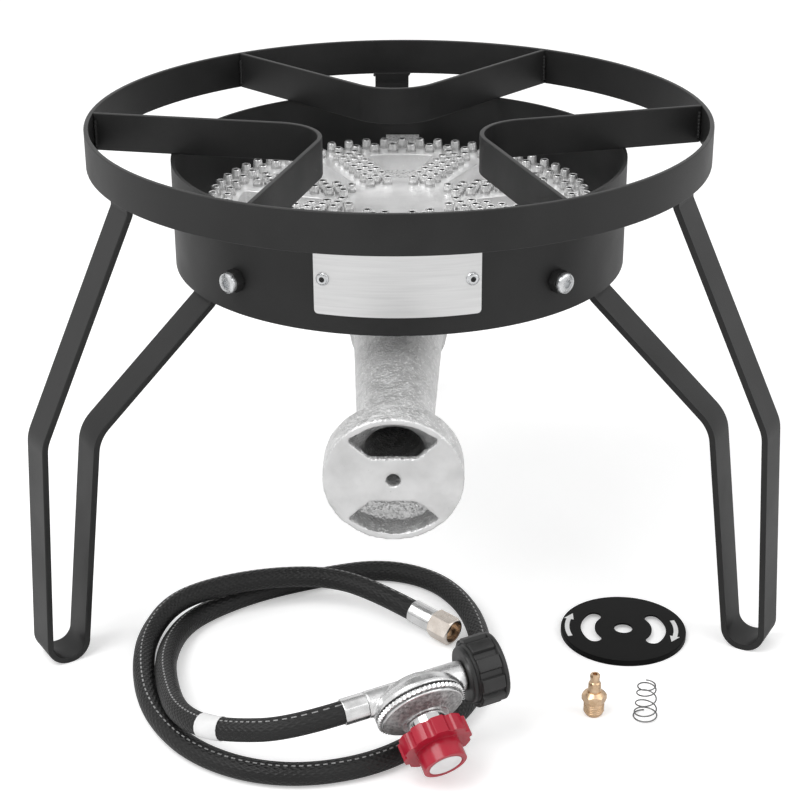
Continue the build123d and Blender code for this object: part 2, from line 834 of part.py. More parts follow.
# Rod between two stations along one of the axes, and the same as a bore
def rod(plane_at, start, end, radius, mode=Mode.ADD):
    with Locations(plane_at(start)):
        Cylinder(radius, end - start, align=upright, mode=mode)


def bore(plane_at, start, end, radius):
    rod(plane_at, start, end, radius, mode=Mode.SUBTRACT)


# Regulator body: a shallow case with an outlet and an inlet boss, seat and passages
chamber_floor = case_top - chamber_depth
with BuildPart() as regulator_body:
    with BuildSketch(section):
        with BuildLine():
            Polyline(
                (0, case_back),
                (case_back_radius, case_back),
                (case_belly_radius, case_belly),
                (case_radius, case_top - case_lip),
                (case_radius, case_top),
                (0, case_top),
                (0, case_back),
            )
        make_face()
    revolve(axis=knob_axis)
    rod(port_plane, -outlet_reach, 0, outlet_boss_radius)
    rod(port_plane, 0, inlet_step, outlet_boss_radius)
    rod(port_plane, inlet_step, inlet_reach, inlet_boss_radius)
    bore(knob_plane, chamber_floor, case_top, chamber_radius)
    bore(knob_plane, valve_well_floor, chamber_floor, valve_well_radius)
    bore(port_plane, 0, seat_station, seat_bore)
    bore(port_plane, seat_station, inlet_reach, port_bore)
    bore(port_plane, inlet_reach - nipple_thread, inlet_reach, nipple_radius + slip_fit)
    bore(port_plane, -outlet_reach, -outlet_well_station, port_bore)
    with BuildSketch(knob_plane(0)):
        with Locations((-outlet_well_station, 0)):
            Circle(valve_well_radius)
    extrude(amount=chamber_floor, mode=Mode.SUBTRACT)
finish(regulator_body, "regulator_body")

# Diaphragm, clamped between body and bonnet, and the plate on it
bonnet_base = case_top + diaphragm_sheet
with BuildPart() as diaphragm:
    rod(knob_plane, case_top, bonnet_base, case_radius - diaphragm_inset)
finish(diaphragm, "diaphragm")

with BuildPart() as diaphragm_plate:
    rod(knob_plane, bonnet_base, bonnet_base + seat_plate, plate_radius)
finish(diaphragm_plate, "diaphragm_plate")

with BuildPart() as valve_pin:
    rod(knob_plane, valve_well_floor + seat_gap, case_top, valve_pin_radius)
finish(valve_pin, "valve_pin")

# Bonnet: toothed rim, sloping shoulder and a threaded neck
rim_top = bonnet_base + bonnet_rim
crown = rim_top + bonnet_rise
neck_top = crown + neck_height
with BuildPart() as regulator_bonnet:
    with BuildSketch(section):
        with BuildLine():
            Polyline(
                (neck_bore, neck_top),
                (neck_radius, neck_top),
                (neck_radius, crown),
                (bonnet_crown_radius, crown),
                (bonnet_shoulder_radius, rim_top),
                (case_radius, rim_top),
                (case_radius, bonnet_base),
                (chamber_radius, bonnet_base),
                (chamber_radius, rim_top - bonnet_wall),
                (bonnet_crown_radius - bonnet_wall, crown - bonnet_wall),
                (neck_bore, crown - bonnet_wall),
                (neck_bore, neck_top),
            )
        make_face()
    revolve(axis=knob_axis)
    with BuildSketch(knob_plane(bonnet_base)):
        with PolarLocations(case_radius, bonnet_teeth):
            Circle(tooth_notch_radius)
    extrude(amount=bonnet_rim, mode=Mode.SUBTRACT)
finish(regulator_bonnet, "regulator_bonnet")

with BuildPart() as collar:
    rod(knob_plane, crown, crown + collar_height, collar_radius)
    bore(knob_plane, crown, crown + collar_height, neck_radius + slip_fit)
finish(collar, "collar")

# Control spring on the plate, with the cup and the adjusting screw above it
spring_seat = bonnet_base + seat_plate + seat_gap
regulator_spring = make_spring(
    "regulator_spring",
    knob_plane(spring_seat),
    control_spring_diameter,
    control_spring_diameter,
    control_spring_height,
    control_spring_turns,
    control_spring_wire,
    control_spring_end_slope,
)
finish(regulator_spring, "regulator_spring")

cup_bottom = spring_seat + control_spring_height + screw_travel + travel_gap
cup_top = cup_bottom + cup_thickness
with BuildPart() as spring_cup:
    rod(knob_plane, cup_bottom, cup_top, neck_bore - slip_fit)
finish(spring_cup, "spring_cup")

# Knob and the screw that it turns
screw_top = neck_top + screw_rise
skirt_bottom = crown + screw_travel + skirt_gap
hollow_top = neck_top + screw_travel + knob_hollow_gap
skirt_top = skirt_bottom + skirt_height
cap_top = skirt_top + cap_height
stem_top = cap_top - cap_end_wall
screw_bottom = cup_top + cup_gap
with BuildPart() as adjusting_screw:
    rod(knob_plane, screw_bottom, screw_top, neck_bore - slip_fit)
    rod(knob_plane, screw_top, stem_top, stem_radius)
finish(adjusting_screw, "adjusting_screw")

with BuildPart() as knob:
    with BuildSketch(knob_plane(skirt_bottom)):
        Circle(skirt_radius)
        with PolarLocations(skirt_radius + lobe_groove_radius - lobe_groove_depth, skirt_lobes):
            Circle(lobe_groove_radius, mode=Mode.SUBTRACT)
    extrude(amount=skirt_height)
    rod(knob_plane, skirt_top, cap_top, cap_radius)
    bore(knob_plane, skirt_bottom, hollow_top, knob_hollow_radius)
    bore(knob_plane, hollow_top, stem_top, stem_radius + slip_fit)
    bore(knob_plane, cap_top - label_sheet, cap_top, label_radius + weld_gap)
finish(knob, "knob")

with BuildPart() as knob_label:
    rod(knob_plane, cap_top - label_sheet, cap_top, label_radius)
finish(knob_label, "knob_label")

# Inlet nipple screwed into the body, its seal, and the coupling nut that spins on it
nipple_end = inlet_reach + nipple_reach
shoulder_station = inlet_reach + nipple_shoulder_station
with BuildPart() as inlet_nipple:
    rod(port_plane, inlet_reach - nipple_thread, nipple_end, nipple_radius)
    rod(port_plane, shoulder_station, shoulder_station + nipple_shoulder, nipple_shoulder_radius)
    bore(port_plane, inlet_reach - nipple_thread, nipple_end, port_bore)
finish(inlet_nipple, "inlet_nipple")

with BuildPart() as nipple_seal:
    rod(port_plane, nipple_end - seal_inset - seal_length, nipple_end - seal_inset, seal_radius)
    bore(port_plane, nipple_end - seal_inset - seal_length, nipple_end - seal_inset, nipple_radius + slip_fit)
finish(nipple_seal, "nipple_seal")

nut_back = inlet_reach + nut_gap
nut_main = nut_back + nut_collar_length
nut_end = nut_back + nut_length
with BuildPart() as coupling_nut:
    rod(port_plane, nut_back, nut_main, nut_collar_radius)
    with BuildSketch(port_plane(nut_main)):
        Circle(nut_radius)
        with PolarLocations(nut_radius, nut_ribs):
            Circle(nut_groove_radius, mode=Mode.SUBTRACT)
    extrude(amount=nut_end - nut_main)
    bore(port_plane, nut_back, nut_end, nipple_radius + running_gap)
    bore(port_plane, nut_back + nut_back_wall, nut_end, nipple_shoulder_radius + running_gap)
    bore(port_plane, nut_main + nut_wall, nut_end, nut_radius - nut_wall)
finish(coupling_nut, "coupling_nut")

with BuildPart() as ferrule_regulator:
    rod(port_plane, -outlet_reach - ferrule_length, -outlet_reach, ferrule_radius)
    bore(port_plane, -outlet_reach - ferrule_length, -outlet_reach, hose_bore / 2)
finish(ferrule_regulator, "ferrule_regulator")

# Hose: straight runs joined by the widest tangent arcs that they allow
hose_start = centre - ports * (outlet_reach + ferrule_length)
route = [hose_start, hose_start - ports * hose_lead] + [Vector(*point) for point in hose_points]
runs = [end - start for start, end in zip(route, route[1:])]
bend_radii = []
for before, after in zip(runs, runs[1:]):
    half_turn = math.radians(before.get_angle(after)) / 2
    bend_radii.append(hose_bend_share * min(before.length, after.length) / math.tan(half_turn))
with BuildPart() as hose:
    with BuildLine() as hose_line:
        FilletPolyline(*route, radius=bend_radii)
    with BuildSketch(Plane(origin=hose_start, z_dir=-ports)):
        Circle(hose_diameter / 2)
        Circle(hose_bore / 2, mode=Mode.SUBTRACT)
    sweep(path=hose_line.line)
finish(hose, "hose")
hose_section = math.pi * (hose_diameter**2 - hose_bore**2) / 4
hose_length = hose_line.wires()[0].length
print("hose length", round(hose_length, 1))
print("hose volume to section times length", round(hose.part.volume / (hose_section * hose_length), 4))
print("hose radii", [round(radius) for radius in bend_radii])

# Blank band wrapped on the hose, on the third of its bends
band_arc = hose_line.edges().filter_by(GeomType.CIRCLE)[band_bend_number].trim(band_start, band_end)
with BuildPart() as hose_band:
    with BuildSketch(Plane(origin=band_arc @ 0, z_dir=band_arc % 0)):
        Circle(hose_diameter / 2 + slip_fit + band_sheet)
        Circle(hose_diameter / 2 + slip_fit, mode=Mode.SUBTRACT)
    sweep(path=band_arc)
finish(hose_band, "hose_band")

# Flare end: ferrule, tail with its collar, and the nut that spins on the tail
flare_start = route[-1]
flare_out = runs[-1].normalized()


def flare_plane(station):
    side = flare_out.cross(Vector(0, 0, 1)).normalized()
    return Plane(origin=flare_start + flare_out * station, x_dir=side, z_dir=flare_out)


with BuildPart() as ferrule_flare:
    rod(flare_plane, 0, flare_ferrule_length, ferrule_radius)
    bore(flare_plane, 0, flare_ferrule_length, tail_radius + slip_fit)
finish(ferrule_flare, "ferrule_flare")

flare_nut_start = flare_ferrule_length + running_gap
flare_nut_end = flare_nut_start + flare_nut_length
tail_end = flare_nut_start + flare_nut_wall + running_gap + tail_collar
with BuildPart() as flare_tail:
    rod(flare_plane, 0, tail_end, tail_radius)
    rod(flare_plane, tail_end - tail_collar, tail_end, tail_collar_radius)
    bore(flare_plane, 0, tail_end, tail_bore)
finish(flare_tail, "flare_tail")

with BuildPart() as flare_nut:
    with BuildSketch(flare_plane(flare_nut_start)):
        RegularPolygon(flare_nut_flats / 2, 6, major_radius=False)
        Circle(tail_radius + running_gap, mode=Mode.SUBTRACT)
    extrude(amount=flare_nut_length)
    bore(flare_plane, flare_nut_start + flare_nut_wall, flare_nut_end, tail_collar_radius + tail_collar_gap)
finish(flare_nut, "flare_nut")
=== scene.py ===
import math
import bpy
from mathutils import Matrix, Vector


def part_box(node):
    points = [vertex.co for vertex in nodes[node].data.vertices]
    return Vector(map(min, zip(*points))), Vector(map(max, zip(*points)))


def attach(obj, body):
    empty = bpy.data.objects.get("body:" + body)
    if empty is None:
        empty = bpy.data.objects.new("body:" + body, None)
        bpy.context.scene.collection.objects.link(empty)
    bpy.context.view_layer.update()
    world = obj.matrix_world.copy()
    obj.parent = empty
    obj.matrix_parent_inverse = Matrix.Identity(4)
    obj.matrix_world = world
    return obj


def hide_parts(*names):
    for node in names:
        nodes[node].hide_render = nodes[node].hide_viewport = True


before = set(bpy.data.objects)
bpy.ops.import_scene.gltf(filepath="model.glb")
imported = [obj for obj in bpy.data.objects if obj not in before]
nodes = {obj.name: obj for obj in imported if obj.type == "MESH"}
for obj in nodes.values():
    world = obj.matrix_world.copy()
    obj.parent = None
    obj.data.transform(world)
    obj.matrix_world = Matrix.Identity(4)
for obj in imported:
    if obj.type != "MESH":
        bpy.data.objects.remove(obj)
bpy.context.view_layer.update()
mm = 0.001
mergeReach = 0.01 * mm
fullTurn = 2 * math.pi
upward = Vector((0, 0, 1))
print("frame loaded:", len(nodes), "nodes")


def clearPick():
    if bpy.context.mode != "OBJECT":
        bpy.ops.object.mode_set(mode="OBJECT")
    bpy.ops.object.select_all(action="DESELECT")


def pick(piece):
    clearPick()
    piece.select_set(True)
    bpy.context.view_layer.objects.active = piece


def setValues(target, values):
    for key, value in values.items():
        setattr(target, key, value)
    return target


def useModifier(piece, kind, **values):
    pick(piece)
    modifier = setValues(piece.modifiers.new(kind.lower(), kind), values)
    bpy.ops.object.modifier_apply(modifier=modifier.name)


# Doubles merged, flat neighbours joined and faces turned out where asked
def cleanMesh(piece, flatAngle=None, recalculate=True):
    pick(piece)
    bpy.ops.object.mode_set(mode="EDIT")
    bpy.ops.mesh.select_all(action="SELECT")
    bpy.ops.mesh.remove_doubles(threshold=mergeReach)
    if flatAngle is not None:
        bpy.ops.mesh.dissolve_limited(angle_limit=math.radians(flatAngle))
    if recalculate:
        bpy.ops.mesh.normals_make_consistent(inside=False)
    bpy.ops.object.mode_set(mode="OBJECT")


# Smooth sides, while flat faces keep their flat shading
def smoothSides(piece, angle=35):
    pick(piece)
    bpy.ops.object.shade_smooth_by_angle(angle=math.radians(angle))
    useModifier(piece, "WEIGHTED_NORMAL", mode="FACE_AREA", keep_sharp=True)


def easeEdges(piece, width, segments=2, angle=30):
    useModifier(
        piece, "BEVEL", width=width * mm, segments=segments,
        limit_method="ANGLE", angle_limit=math.radians(angle),
    )


# Point on a circle at a turn in degrees from the x axis
def arcPoint(radius, turn):
    return (radius * math.cos(math.radians(turn)), radius * math.sin(math.radians(turn)))


# Level direction at such a turn
def radial(azimuth):
    return Vector((*arcPoint(1, azimuth), 0))


def lift(piece, height):
    piece.data.transform(Matrix.Translation((0, 0, height * mm)))


# A piece drawn along z is set with z along one direction and x near another
def placeAt(piece, origin, along, across):
    zAxis = Vector(along).normalized()
    yAxis = zAxis.cross(Vector(across)).normalized()
    xAxis = yAxis.cross(zAxis)
    place = Matrix((xAxis, yAxis, zAxis)).transposed().to_4x4()
    place.translation = Vector(origin) * mm
    piece.data.transform(place)
    return piece


# A piece that wears no finish yet gets one, and rides on its body
def settle(piece, finishName, slotName, *replaced, body="stove"):
    if not piece.data.materials:
        piece.data.materials.append(finishes[finishName])
    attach(piece, body)
    if replaced:
        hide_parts(*replaced)
    return piece


# Several finishes, each on the faces that a rule chooses by middle (in millimetres) and normal; some are
# painted shade, as in holes, bores and seams
def finishOrShadeByFace(piece, finishNames, chosen):
    for finishName in finishNames:
        piece.data.materials.append(finishes[finishName])
    for face in piece.data.polygons:
        face.material_index = int(chosen(face.center / mm, face.normal))


def linkObject(name, data):
    piece = bpy.data.objects.new(name, data)
    bpy.context.scene.collection.objects.link(piece)
    return piece


def nodeMiddle(nodeName):
    low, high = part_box(nodeName)
    return (Vector(low) + Vector(high)) / 2


def nodeCopy(nodeName, pieceName, flatAngle=0.5):
    piece = linkObject(pieceName, nodes[nodeName].data.copy())
    piece.data.materials.clear()
    cleanMesh(piece, flatAngle, recalculate=False)
    return piece


# A node's own shape with its edges broken
def easedCopy(nodeName, pieceName, edge, segments=2):
    piece = nodeCopy(nodeName, pieceName)
    easeEdges(piece, edge, segments)
    smoothSides(piece)
    return piece


# The same in its finish and on its body, in place of the node
def dressNode(nodeName, pieceName, edge, finishName, slotName, segments=2, body="stove"):
    piece = easedCopy(nodeName, pieceName, edge, segments)
    return settle(piece, finishName, slotName, nodeName, body=body)


# A node's own shape as a casting: one skin with soft inside corners
def castCopy(nodeName, pieceName, voxel, passes):
    piece = nodeCopy(nodeName, pieceName, flatAngle=None)
    useModifier(piece, "REMESH", mode="VOXEL", voxel_size=voxel * mm)
    useModifier(piece, "SMOOTH", factor=0.5, iterations=passes)
    return piece


def joinPieces(first, *others):
    pick(first)
    for other in others:
        other.select_set(True)
    bpy.ops.object.join()
    return first


def combine(piece, other, operation):
    useModifier(piece, "BOOLEAN", operation=operation, object=other, solver="EXACT")
    bpy.data.objects.remove(other)
    return piece


# Turned piece: a ring is extruded and scaled from station to station, then open ends are filled
def turned(name, profile, steps):
    radius, height = profile[0]
    clearPick()
    bpy.ops.mesh.primitive_circle_add(vertices=steps, radius=radius * mm)
    piece = bpy.context.object
    piece.name = name
    lift(piece, height)
    bpy.ops.object.mode_set(mode="EDIT")
    bpy.ops.mesh.select_mode(type="VERT")
    bpy.ops.mesh.select_all(action="SELECT")
    for nextRadius, nextHeight in profile[1:]:
        rise = (nextHeight - height) * mm
        bpy.ops.mesh.extrude_region_move(TRANSFORM_OT_translate={"value": (0, 0, rise)})
        share = nextRadius / radius
        bpy.ops.transform.resize(value=(share, share, 1), center_override=(0, 0, 0))
        radius, height = nextRadius, nextHeight
    bpy.ops.mesh.select_all(action="SELECT")
    bpy.ops.mesh.remove_doubles(threshold=mergeReach)
    bpy.ops.mesh.select_all(action="DESELECT")
    bpy.ops.mesh.select_non_manifold()
    bpy.ops.mesh.fill_holes(sides=0)
    bpy.ops.mesh.select_all(action="SELECT")
    bpy.ops.mesh.normals_make_consistent(inside=False)
    bpy.ops.object.mode_set(mode="OBJECT")
    return piece


# Outline whose radius follows a rule of the turn
def shapedOutline(radiusAt, count):
    turns = [fullTurn * step / count for step in range(count)]
    return [(radiusAt(turn) * math.cos(turn), radiusAt(turn) * math.sin(turn)) for turn in turns]


def roundOutline(radius, count):
    return shapedOutline(lambda turn: radius, count)


# Points on an arc about the middle, from one turn to another in degrees
def arcPoints(radius, start, end, count):
    return [arcPoint(radius, start + (end - start) * step / count) for step in range(count + 1)]


def newCurve(name, **values):
    return setValues(bpy.data.curves.new(name, "CURVE"), values)


def addSpline(curve, kind, places):
    spline = curve.splines.new(kind)
    spline.points.add(len(places) - 1)
    for point, place in zip(spline.points, places):
        point.co = (*place, 1.0)
    return spline


def finishCurve(name, curve):
    pick(linkObject(name, curve))
    bpy.ops.object.convert(target="MESH")
    piece = bpy.context.object
    cleanMesh(piece)
    return piece


# Blank cut to its outlines, standing on its own zero level, with sharp or rounded rims
def cutBlank(name, outlines, height, rounding=0.01, roundSteps=0):
    curve = newCurve(
        name, dimensions="2D", fill_mode="BOTH", extrude=(height / 2 - rounding) * mm,
        bevel_depth=rounding * mm, bevel_resolution=roundSteps, offset=-rounding * mm,
    )
    for outline in outlines:
        spline = addSpline(curve, "POLY", [(x * mm, y * mm, 0) for x, y in outline])
        spline.use_cyclic_u = True
    piece = finishCurve(name, curve)
    lift(piece, height / 2)
    return piece


# Wire that follows a rule of its length
def wound(name, pointAt, count, thickness):
    curve = newCurve(
        name, dimensions="3D", bevel_depth=thickness / 2 * mm, bevel_resolution=2, use_fill_caps=True,
    )
    addSpline(curve, "POLY", [pointAt(step / count) * mm for step in range(count + 1)])
    piece = finishCurve(name, curve)
    smoothSides(piece, angle=60)
    return piece


# A node group that several finishes can share
def newGroup(name, inputs, outputs):
    group = bpy.data.node_groups.new(name, "ShaderNodeTree")
    for label, value in inputs:
        socket = group.interface.new_socket(label, in_out="INPUT", socket_type="NodeSocketFloat")
        socket.default_value = value
    for label in outputs:
        group.interface.new_socket(label, in_out="OUTPUT", socket_type="NodeSocketFloat")
    return group, group.nodes.new("NodeGroupInput"), group.nodes.new("NodeGroupOutput")


# A value read between two levels (side From) or put out between them (side To)
def mapRange(tree, value, side, low, high):
    spread = tree.nodes.new("ShaderNodeMapRange")
    spread.inputs[side + " Min"].default_value = low
    spread.inputs[side + " Max"].default_value = high
    tree.links.new(value, spread.inputs["Value"])
    return spread.outputs["Result"]


# Each value is a number or the output of another node
def mathNode(tree, operation, *values):
    node = tree.nodes.new("ShaderNodeMath")
    node.operation = operation
    for socket, value in zip(node.inputs, values):
        if isinstance(value, float):
            socket.default_value = value
        else:
            tree.links.new(value, socket)
    return node.outputs["Value"]


# Mottle, fine grain and pits on the piece's own coordinates; stretch draws them into level lines
grainRule = {
    "broadDetail": 4.0, "fineDetail": 3.0, "spread": (0.3, 0.7),
    "speckDetail": 5.0, "speckRoughness": 0.65, "speckSpread": (0.0, 0.08),
}


def makeGrainGroup():
    group, start, end = newGroup(
        "surfaceGrain",
        [
            ("broadScale", 20.0), ("fineScale", 600.0), ("speckScale", 300.0),
            ("speckStart", 0.66), ("stretch", 1.0),
        ],
        ["broad", "fine", "speck"],
    )
    place = group.nodes.new("ShaderNodeTexCoord")
    factors = group.nodes.new("ShaderNodeCombineXYZ")
    factors.inputs["X"].default_value = 1.0
    factors.inputs["Y"].default_value = 1.0
    group.links.new(start.outputs["stretch"], factors.inputs["Z"])
    drawn = group.nodes.new("ShaderNodeVectorMath")
    drawn.operation = "MULTIPLY"
    group.links.new(place.outputs["Object"], drawn.inputs[0])
    group.links.new(factors.outputs["Vector"], drawn.inputs[1])
    for label in ("broad", "fine"):
        noise = group.nodes.new("ShaderNodeTexNoise")
        noise.inputs["Detail"].default_value = grainRule[label + "Detail"]
        group.links.new(drawn.outputs["Vector"], noise.inputs["Vector"])
        group.links.new(start.outputs[label + "Scale"], noise.inputs["Scale"])
        spread = mapRange(group, noise.outputs["Fac"], "From", *grainRule["spread"])
        group.links.new(spread, end.inputs[label])
    speckle = group.nodes.new("ShaderNodeTexNoise")
    speckle.inputs["Detail"].default_value = grainRule["speckDetail"]
    speckle.inputs["Roughness"].default_value = grainRule["speckRoughness"]
    group.links.new(place.outputs["Object"], speckle.inputs["Vector"])
    group.links.new(start.outputs["speckScale"], speckle.inputs["Scale"])
    above = mathNode(group, "SUBTRACT", speckle.outputs["Fac"], start.outputs["speckStart"])
    group.links.new(mapRange(group, above, "From", *grainRule["speckSpread"]), end.inputs["speck"])
    return group


grainGroup = makeGrainGroup()


# The outputs of the shared grain, set to one look
def grainOf(tree, look):
    grain = tree.nodes.new("ShaderNodeGroup")
    grain.node_tree = grainGroup
    for label, value in zip(("broadScale", "fineScale", "speckScale"), look["scales"]):
        grain.inputs[label].default_value = value
    grain.inputs["speckStart"].default_value = look.get("speckStart", 0.66)
    grain.inputs["stretch"].default_value = look.get("stretch", 1.0)
    return grain.outputs


# A colour, or a grey of one level, with its alpha
def toneOf(value):
    return (*value, 1.0) if isinstance(value, tuple) else (value, value, value, 1.0)


# Each tone is a colour, a grey or the output of another node
def mixTones(tree, mask, first, second):
    mix = tree.nodes.new("ShaderNodeMix")
    mix.data_type = "RGBA"
    tree.links.new(mask, mix.inputs["Factor"])
    for label, tone in (("A", first), ("B", second)):
        if isinstance(tone, (float, tuple)):
            mix.inputs[label].default_value = toneOf(tone)
        else:
            tree.links.new(tone, mix.inputs[label])
    return mix.outputs["Result"]


def newFinish(name):
    finish = bpy.data.materials.new(name)
    finish.use_nodes = True
    return finish, finish.node_tree


# Tone, gloss and bump reach the shader
def dressShader(tree, look, grain, tone, height):
    shader = tree.nodes["Principled BSDF"]
    tree.links.new(tone, shader.inputs["Base Color"])
    gloss = mapRange(tree, grain["broad"], "To", *look["roughness"])
    tree.links.new(gloss, shader.inputs["Roughness"])
    strength, depth = look["bump"]
    bump = tree.nodes.new("ShaderNodeBump")
    bump.inputs["Strength"].default_value = strength
    bump.inputs["Distance"].default_value = depth * mm
    tree.links.new(height, bump.inputs["Height"])
    tree.links.new(bump.outputs["Normal"], shader.inputs["Normal"])
    shader.inputs["Metallic"].default_value = look.get("metallic", 0.0)
    shader.inputs["Specular IOR Level"].default_value = look.get("specular", 0.5)


# One finish: two mottled tones, specks of a third, and a bump of grain and pits
def makeFinish(name, look):
    finish, tree = newFinish(name)
    grain = grainOf(tree, look)
    dark, light, speck = look["tones"]
    base = mixTones(tree, grain["broad"], dark, light)
    tone = mixTones(tree, grain["speck"], base, speck)
    pits = -look.get("pitDepth", 0.5)
    height = mathNode(tree, "MULTIPLY_ADD", grain["speck"], pits, grain["fine"])
    dressShader(tree, look, grain, tone, height)
    return finish


# Tones are dark, light and speck; scales are those of mottle, grain and specks; bump is strength and depth.
# A negative pitDepth raises the specks
looks = {
    "blackCoat": {
        "tones": (0.009, 0.016, 0.03), "scales": (22.0, 1500.0, 900.0),
        "roughness": (0.42, 0.54), "bump": (0.3, 0.1), "specular": 0.33,
    },
    "castSilver": {
        "tones": (0.78, 0.92, 0.98), "scales": (70.0, 700.0, 480.0), "speckStart": 0.6,
        "roughness": (0.28, 0.4), "bump": (0.25, 0.15), "metallic": 0.6, "pitDepth": -0.4,
    },
    "jetSilver": {
        "tones": (0.86, 0.98, 1.0), "scales": (160.0, 900.0, 600.0), "speckStart": 0.6,
        "roughness": (0.14, 0.26), "bump": (0.25, 0.15), "metallic": 0.7, "pitDepth": -0.3,
    },
    # Painted shade for the jets' feet, where the close-set jets shade each other
    "jetFootPaintedShade": {
        "tones": (0.4, 0.58, 0.7), "scales": (200.0, 900.0, 600.0), "speckStart": 0.6,
        "roughness": (0.3, 0.45), "bump": (0.3, 0.2), "metallic": 0.6,
    },
    "castFloor": {
        "tones": (0.44, 0.98, 1.0), "scales": (620.0, 900.0, 700.0), "speckStart": 0.56,
        "roughness": (0.24, 0.4), "bump": (0.8, 0.35), "metallic": 0.6, "pitDepth": -0.8,
    },
    "castRough": {
        "tones": (0.58, 0.8, 0.99), "scales": (130.0, 520.0, 520.0), "speckStart": 0.57,
        "roughness": (0.28, 0.46), "bump": (0.8, 0.6), "metallic": 0.7, "pitDepth": -0.6,
    },
    "castFace": {
        "tones": (0.54, 0.68, 0.44), "scales": (60.0, 900.0, 260.0),
        "roughness": (0.36, 0.46), "bump": (0.25, 0.15), "metallic": 0.5,
    },
    "portShade": {
        "tones": (0.05, 0.1, 0.2), "scales": (300.0, 1500.0, 900.0),
        "roughness": (0.5, 0.65), "bump": (0.2, 0.1), "metallic": 0.4,
    },
    "plateAluminium": {
        "tones": (0.64, 0.72, 0.58), "scales": (26.0, 90.0, 700.0), "speckStart": 0.7,
        "roughness": (0.34, 0.46), "bump": (0.2, 0.05), "metallic": 0.8, "stretch": 26.0,
    },
    "zincBright": {
        "tones": ((0.55, 0.56, 0.57), (0.74, 0.75, 0.76), 0.42),
        "scales": (160.0, 1200.0, 600.0), "speckStart": 0.63,
        "roughness": (0.2, 0.34), "bump": (0.35, 0.12), "metallic": 1.0,
    },
    "gasketFibre": {
        "tones": (0.07, 0.13, 0.2), "scales": (120.0, 1800.0, 1200.0), "speckStart": 0.6,
        "roughness": (0.8, 0.9), "bump": (0.5, 0.1),
    },
    "shutterBlack": {
        "tones": (0.004, 0.007, 0.014), "scales": (50.0, 1300.0, 900.0), "speckStart": 0.68,
        "roughness": (0.34, 0.44), "bump": (0.15, 0.05), "specular": 0.05,
    },
    "arrowWhite": {
        "tones": (0.76, 0.86, 0.6), "scales": (200.0, 1500.0, 1100.0),
        "roughness": (0.45, 0.55), "bump": (0.1, 0.03),
    },
    "brass": {
        "tones": ((0.52, 0.35, 0.21), (0.72, 0.53, 0.36), (0.36, 0.23, 0.13)),
        "scales": (190.0, 1500.0, 900.0),
        "roughness": (0.2, 0.34), "bump": (0.25, 0.06), "metallic": 1.0,
    },
    "springSteel": {
        "tones": (0.12, 0.22, 0.08), "scales": (260.0, 2200.0, 1400.0),
        "roughness": (0.24, 0.36), "bump": (0.15, 0.03), "metallic": 1.0,
    },
    "dieCast": {
        "tones": (0.64, 0.8, 0.46), "scales": (120.0, 900.0, 700.0),
        "roughness": (0.2, 0.34), "bump": (0.3, 0.12), "metallic": 0.95,
    },
    "dieCastDark": {
        "tones": (0.16, 0.48, 0.64), "scales": (420.0, 800.0, 520.0), "speckStart": 0.6,
        "roughness": (0.36, 0.52), "bump": (0.6, 0.3), "metallic": 0.6,
    },
    "diaphragmRubber": {
        "tones": (0.012, 0.022, 0.04), "scales": (120.0, 1500.0, 900.0),
        "roughness": (0.6, 0.75), "bump": (0.2, 0.05),
    },
    "collarChrome": {
        "tones": (0.56, 0.74, 0.46), "scales": (140.0, 1600.0, 900.0), "speckStart": 0.7,
        "roughness": (0.08, 0.18), "bump": (0.1, 0.02), "metallic": 1.0,
    },
    "knobRed": {
        "tones": ((0.34, 0.006, 0.022), (0.42, 0.009, 0.03), (0.29, 0.005, 0.018)),
        "scales": (70.0, 900.0, 1200.0), "speckStart": 0.7,
        "roughness": (0.16, 0.24), "bump": (0.1, 0.04), "specular": 0.45,
    },
    "labelWhite": {
        "tones": (0.74, 0.84, 0.66), "scales": (90.0, 1800.0, 1000.0), "speckStart": 0.68,
        "roughness": (0.4, 0.5), "bump": (0.08, 0.03),
    },
    "nutBlack": {
        "tones": (0.014, 0.026, 0.044), "scales": (80.0, 1100.0, 800.0), "speckStart": 0.67,
        "roughness": (0.4, 0.54), "bump": (0.3, 0.1), "specular": 0.4,
    },
    "ferruleSteel": {
        "tones": (0.58, 0.76, 0.44), "scales": (150.0, 1500.0, 900.0), "speckStart": 0.68,
        "roughness": (0.16, 0.28), "bump": (0.15, 0.04), "metallic": 1.0,
    },
    "flareBrass": {
        "tones": ((0.64, 0.57, 0.51), (0.8, 0.74, 0.68), (0.52, 0.43, 0.36)),
        "scales": (150.0, 1500.0, 900.0), "speckStart": 0.68,
        "roughness": (0.16, 0.28), "bump": (0.15, 0.04), "metallic": 1.0,
    },
}
finishes = {lookName: makeFinish(lookName, look) for lookName, look in looks.items()}
print("finishes made:", len(finishes))

# Camera and hose come first
view = {
    "position": Vector((-0.3, -1202.4, 661.8)), "pitch": 24.26, "roll": 0.324, "turn": 1.05,
    "focalPixels": 1900.0, "imagePixels": 800.0, "sensor": 36.0, "clip": (0.05, 20.0),
}


def makeCamera():
    pitch = math.radians(view["pitch"])
    roll = math.radians(view["roll"])
    upright = Vector((0, math.sin(pitch), math.cos(pitch)))
    forward = Vector((0, math.cos(pitch), -math.sin(pitch)))
    across = Vector((1, 0, 0))
    right = across * math.cos(roll) - upright * math.sin(roll)
    up = upright * math.cos(roll) + across * math.sin(roll)
    turn = Matrix.Rotation(math.radians(view["turn"]), 3, "Z")
    pose = Matrix((turn @ right, turn @ up, turn @ -forward)).transposed().to_4x4()
    pose.translation = turn @ view["position"] * mm
    data = bpy.data.cameras.new("photoView")
    data.sensor_width = view["sensor"]
    data.sensor_fit = "HORIZONTAL"
    data.lens = view["focalPixels"] / view["imagePixels"] * view["sensor"]
    data.clip_start, data.clip_end = view["clip"]
    camera = linkObject("photoView", data)
    camera.matrix_world = pose
    bpy.context.scene.camera = camera


makeCamera()

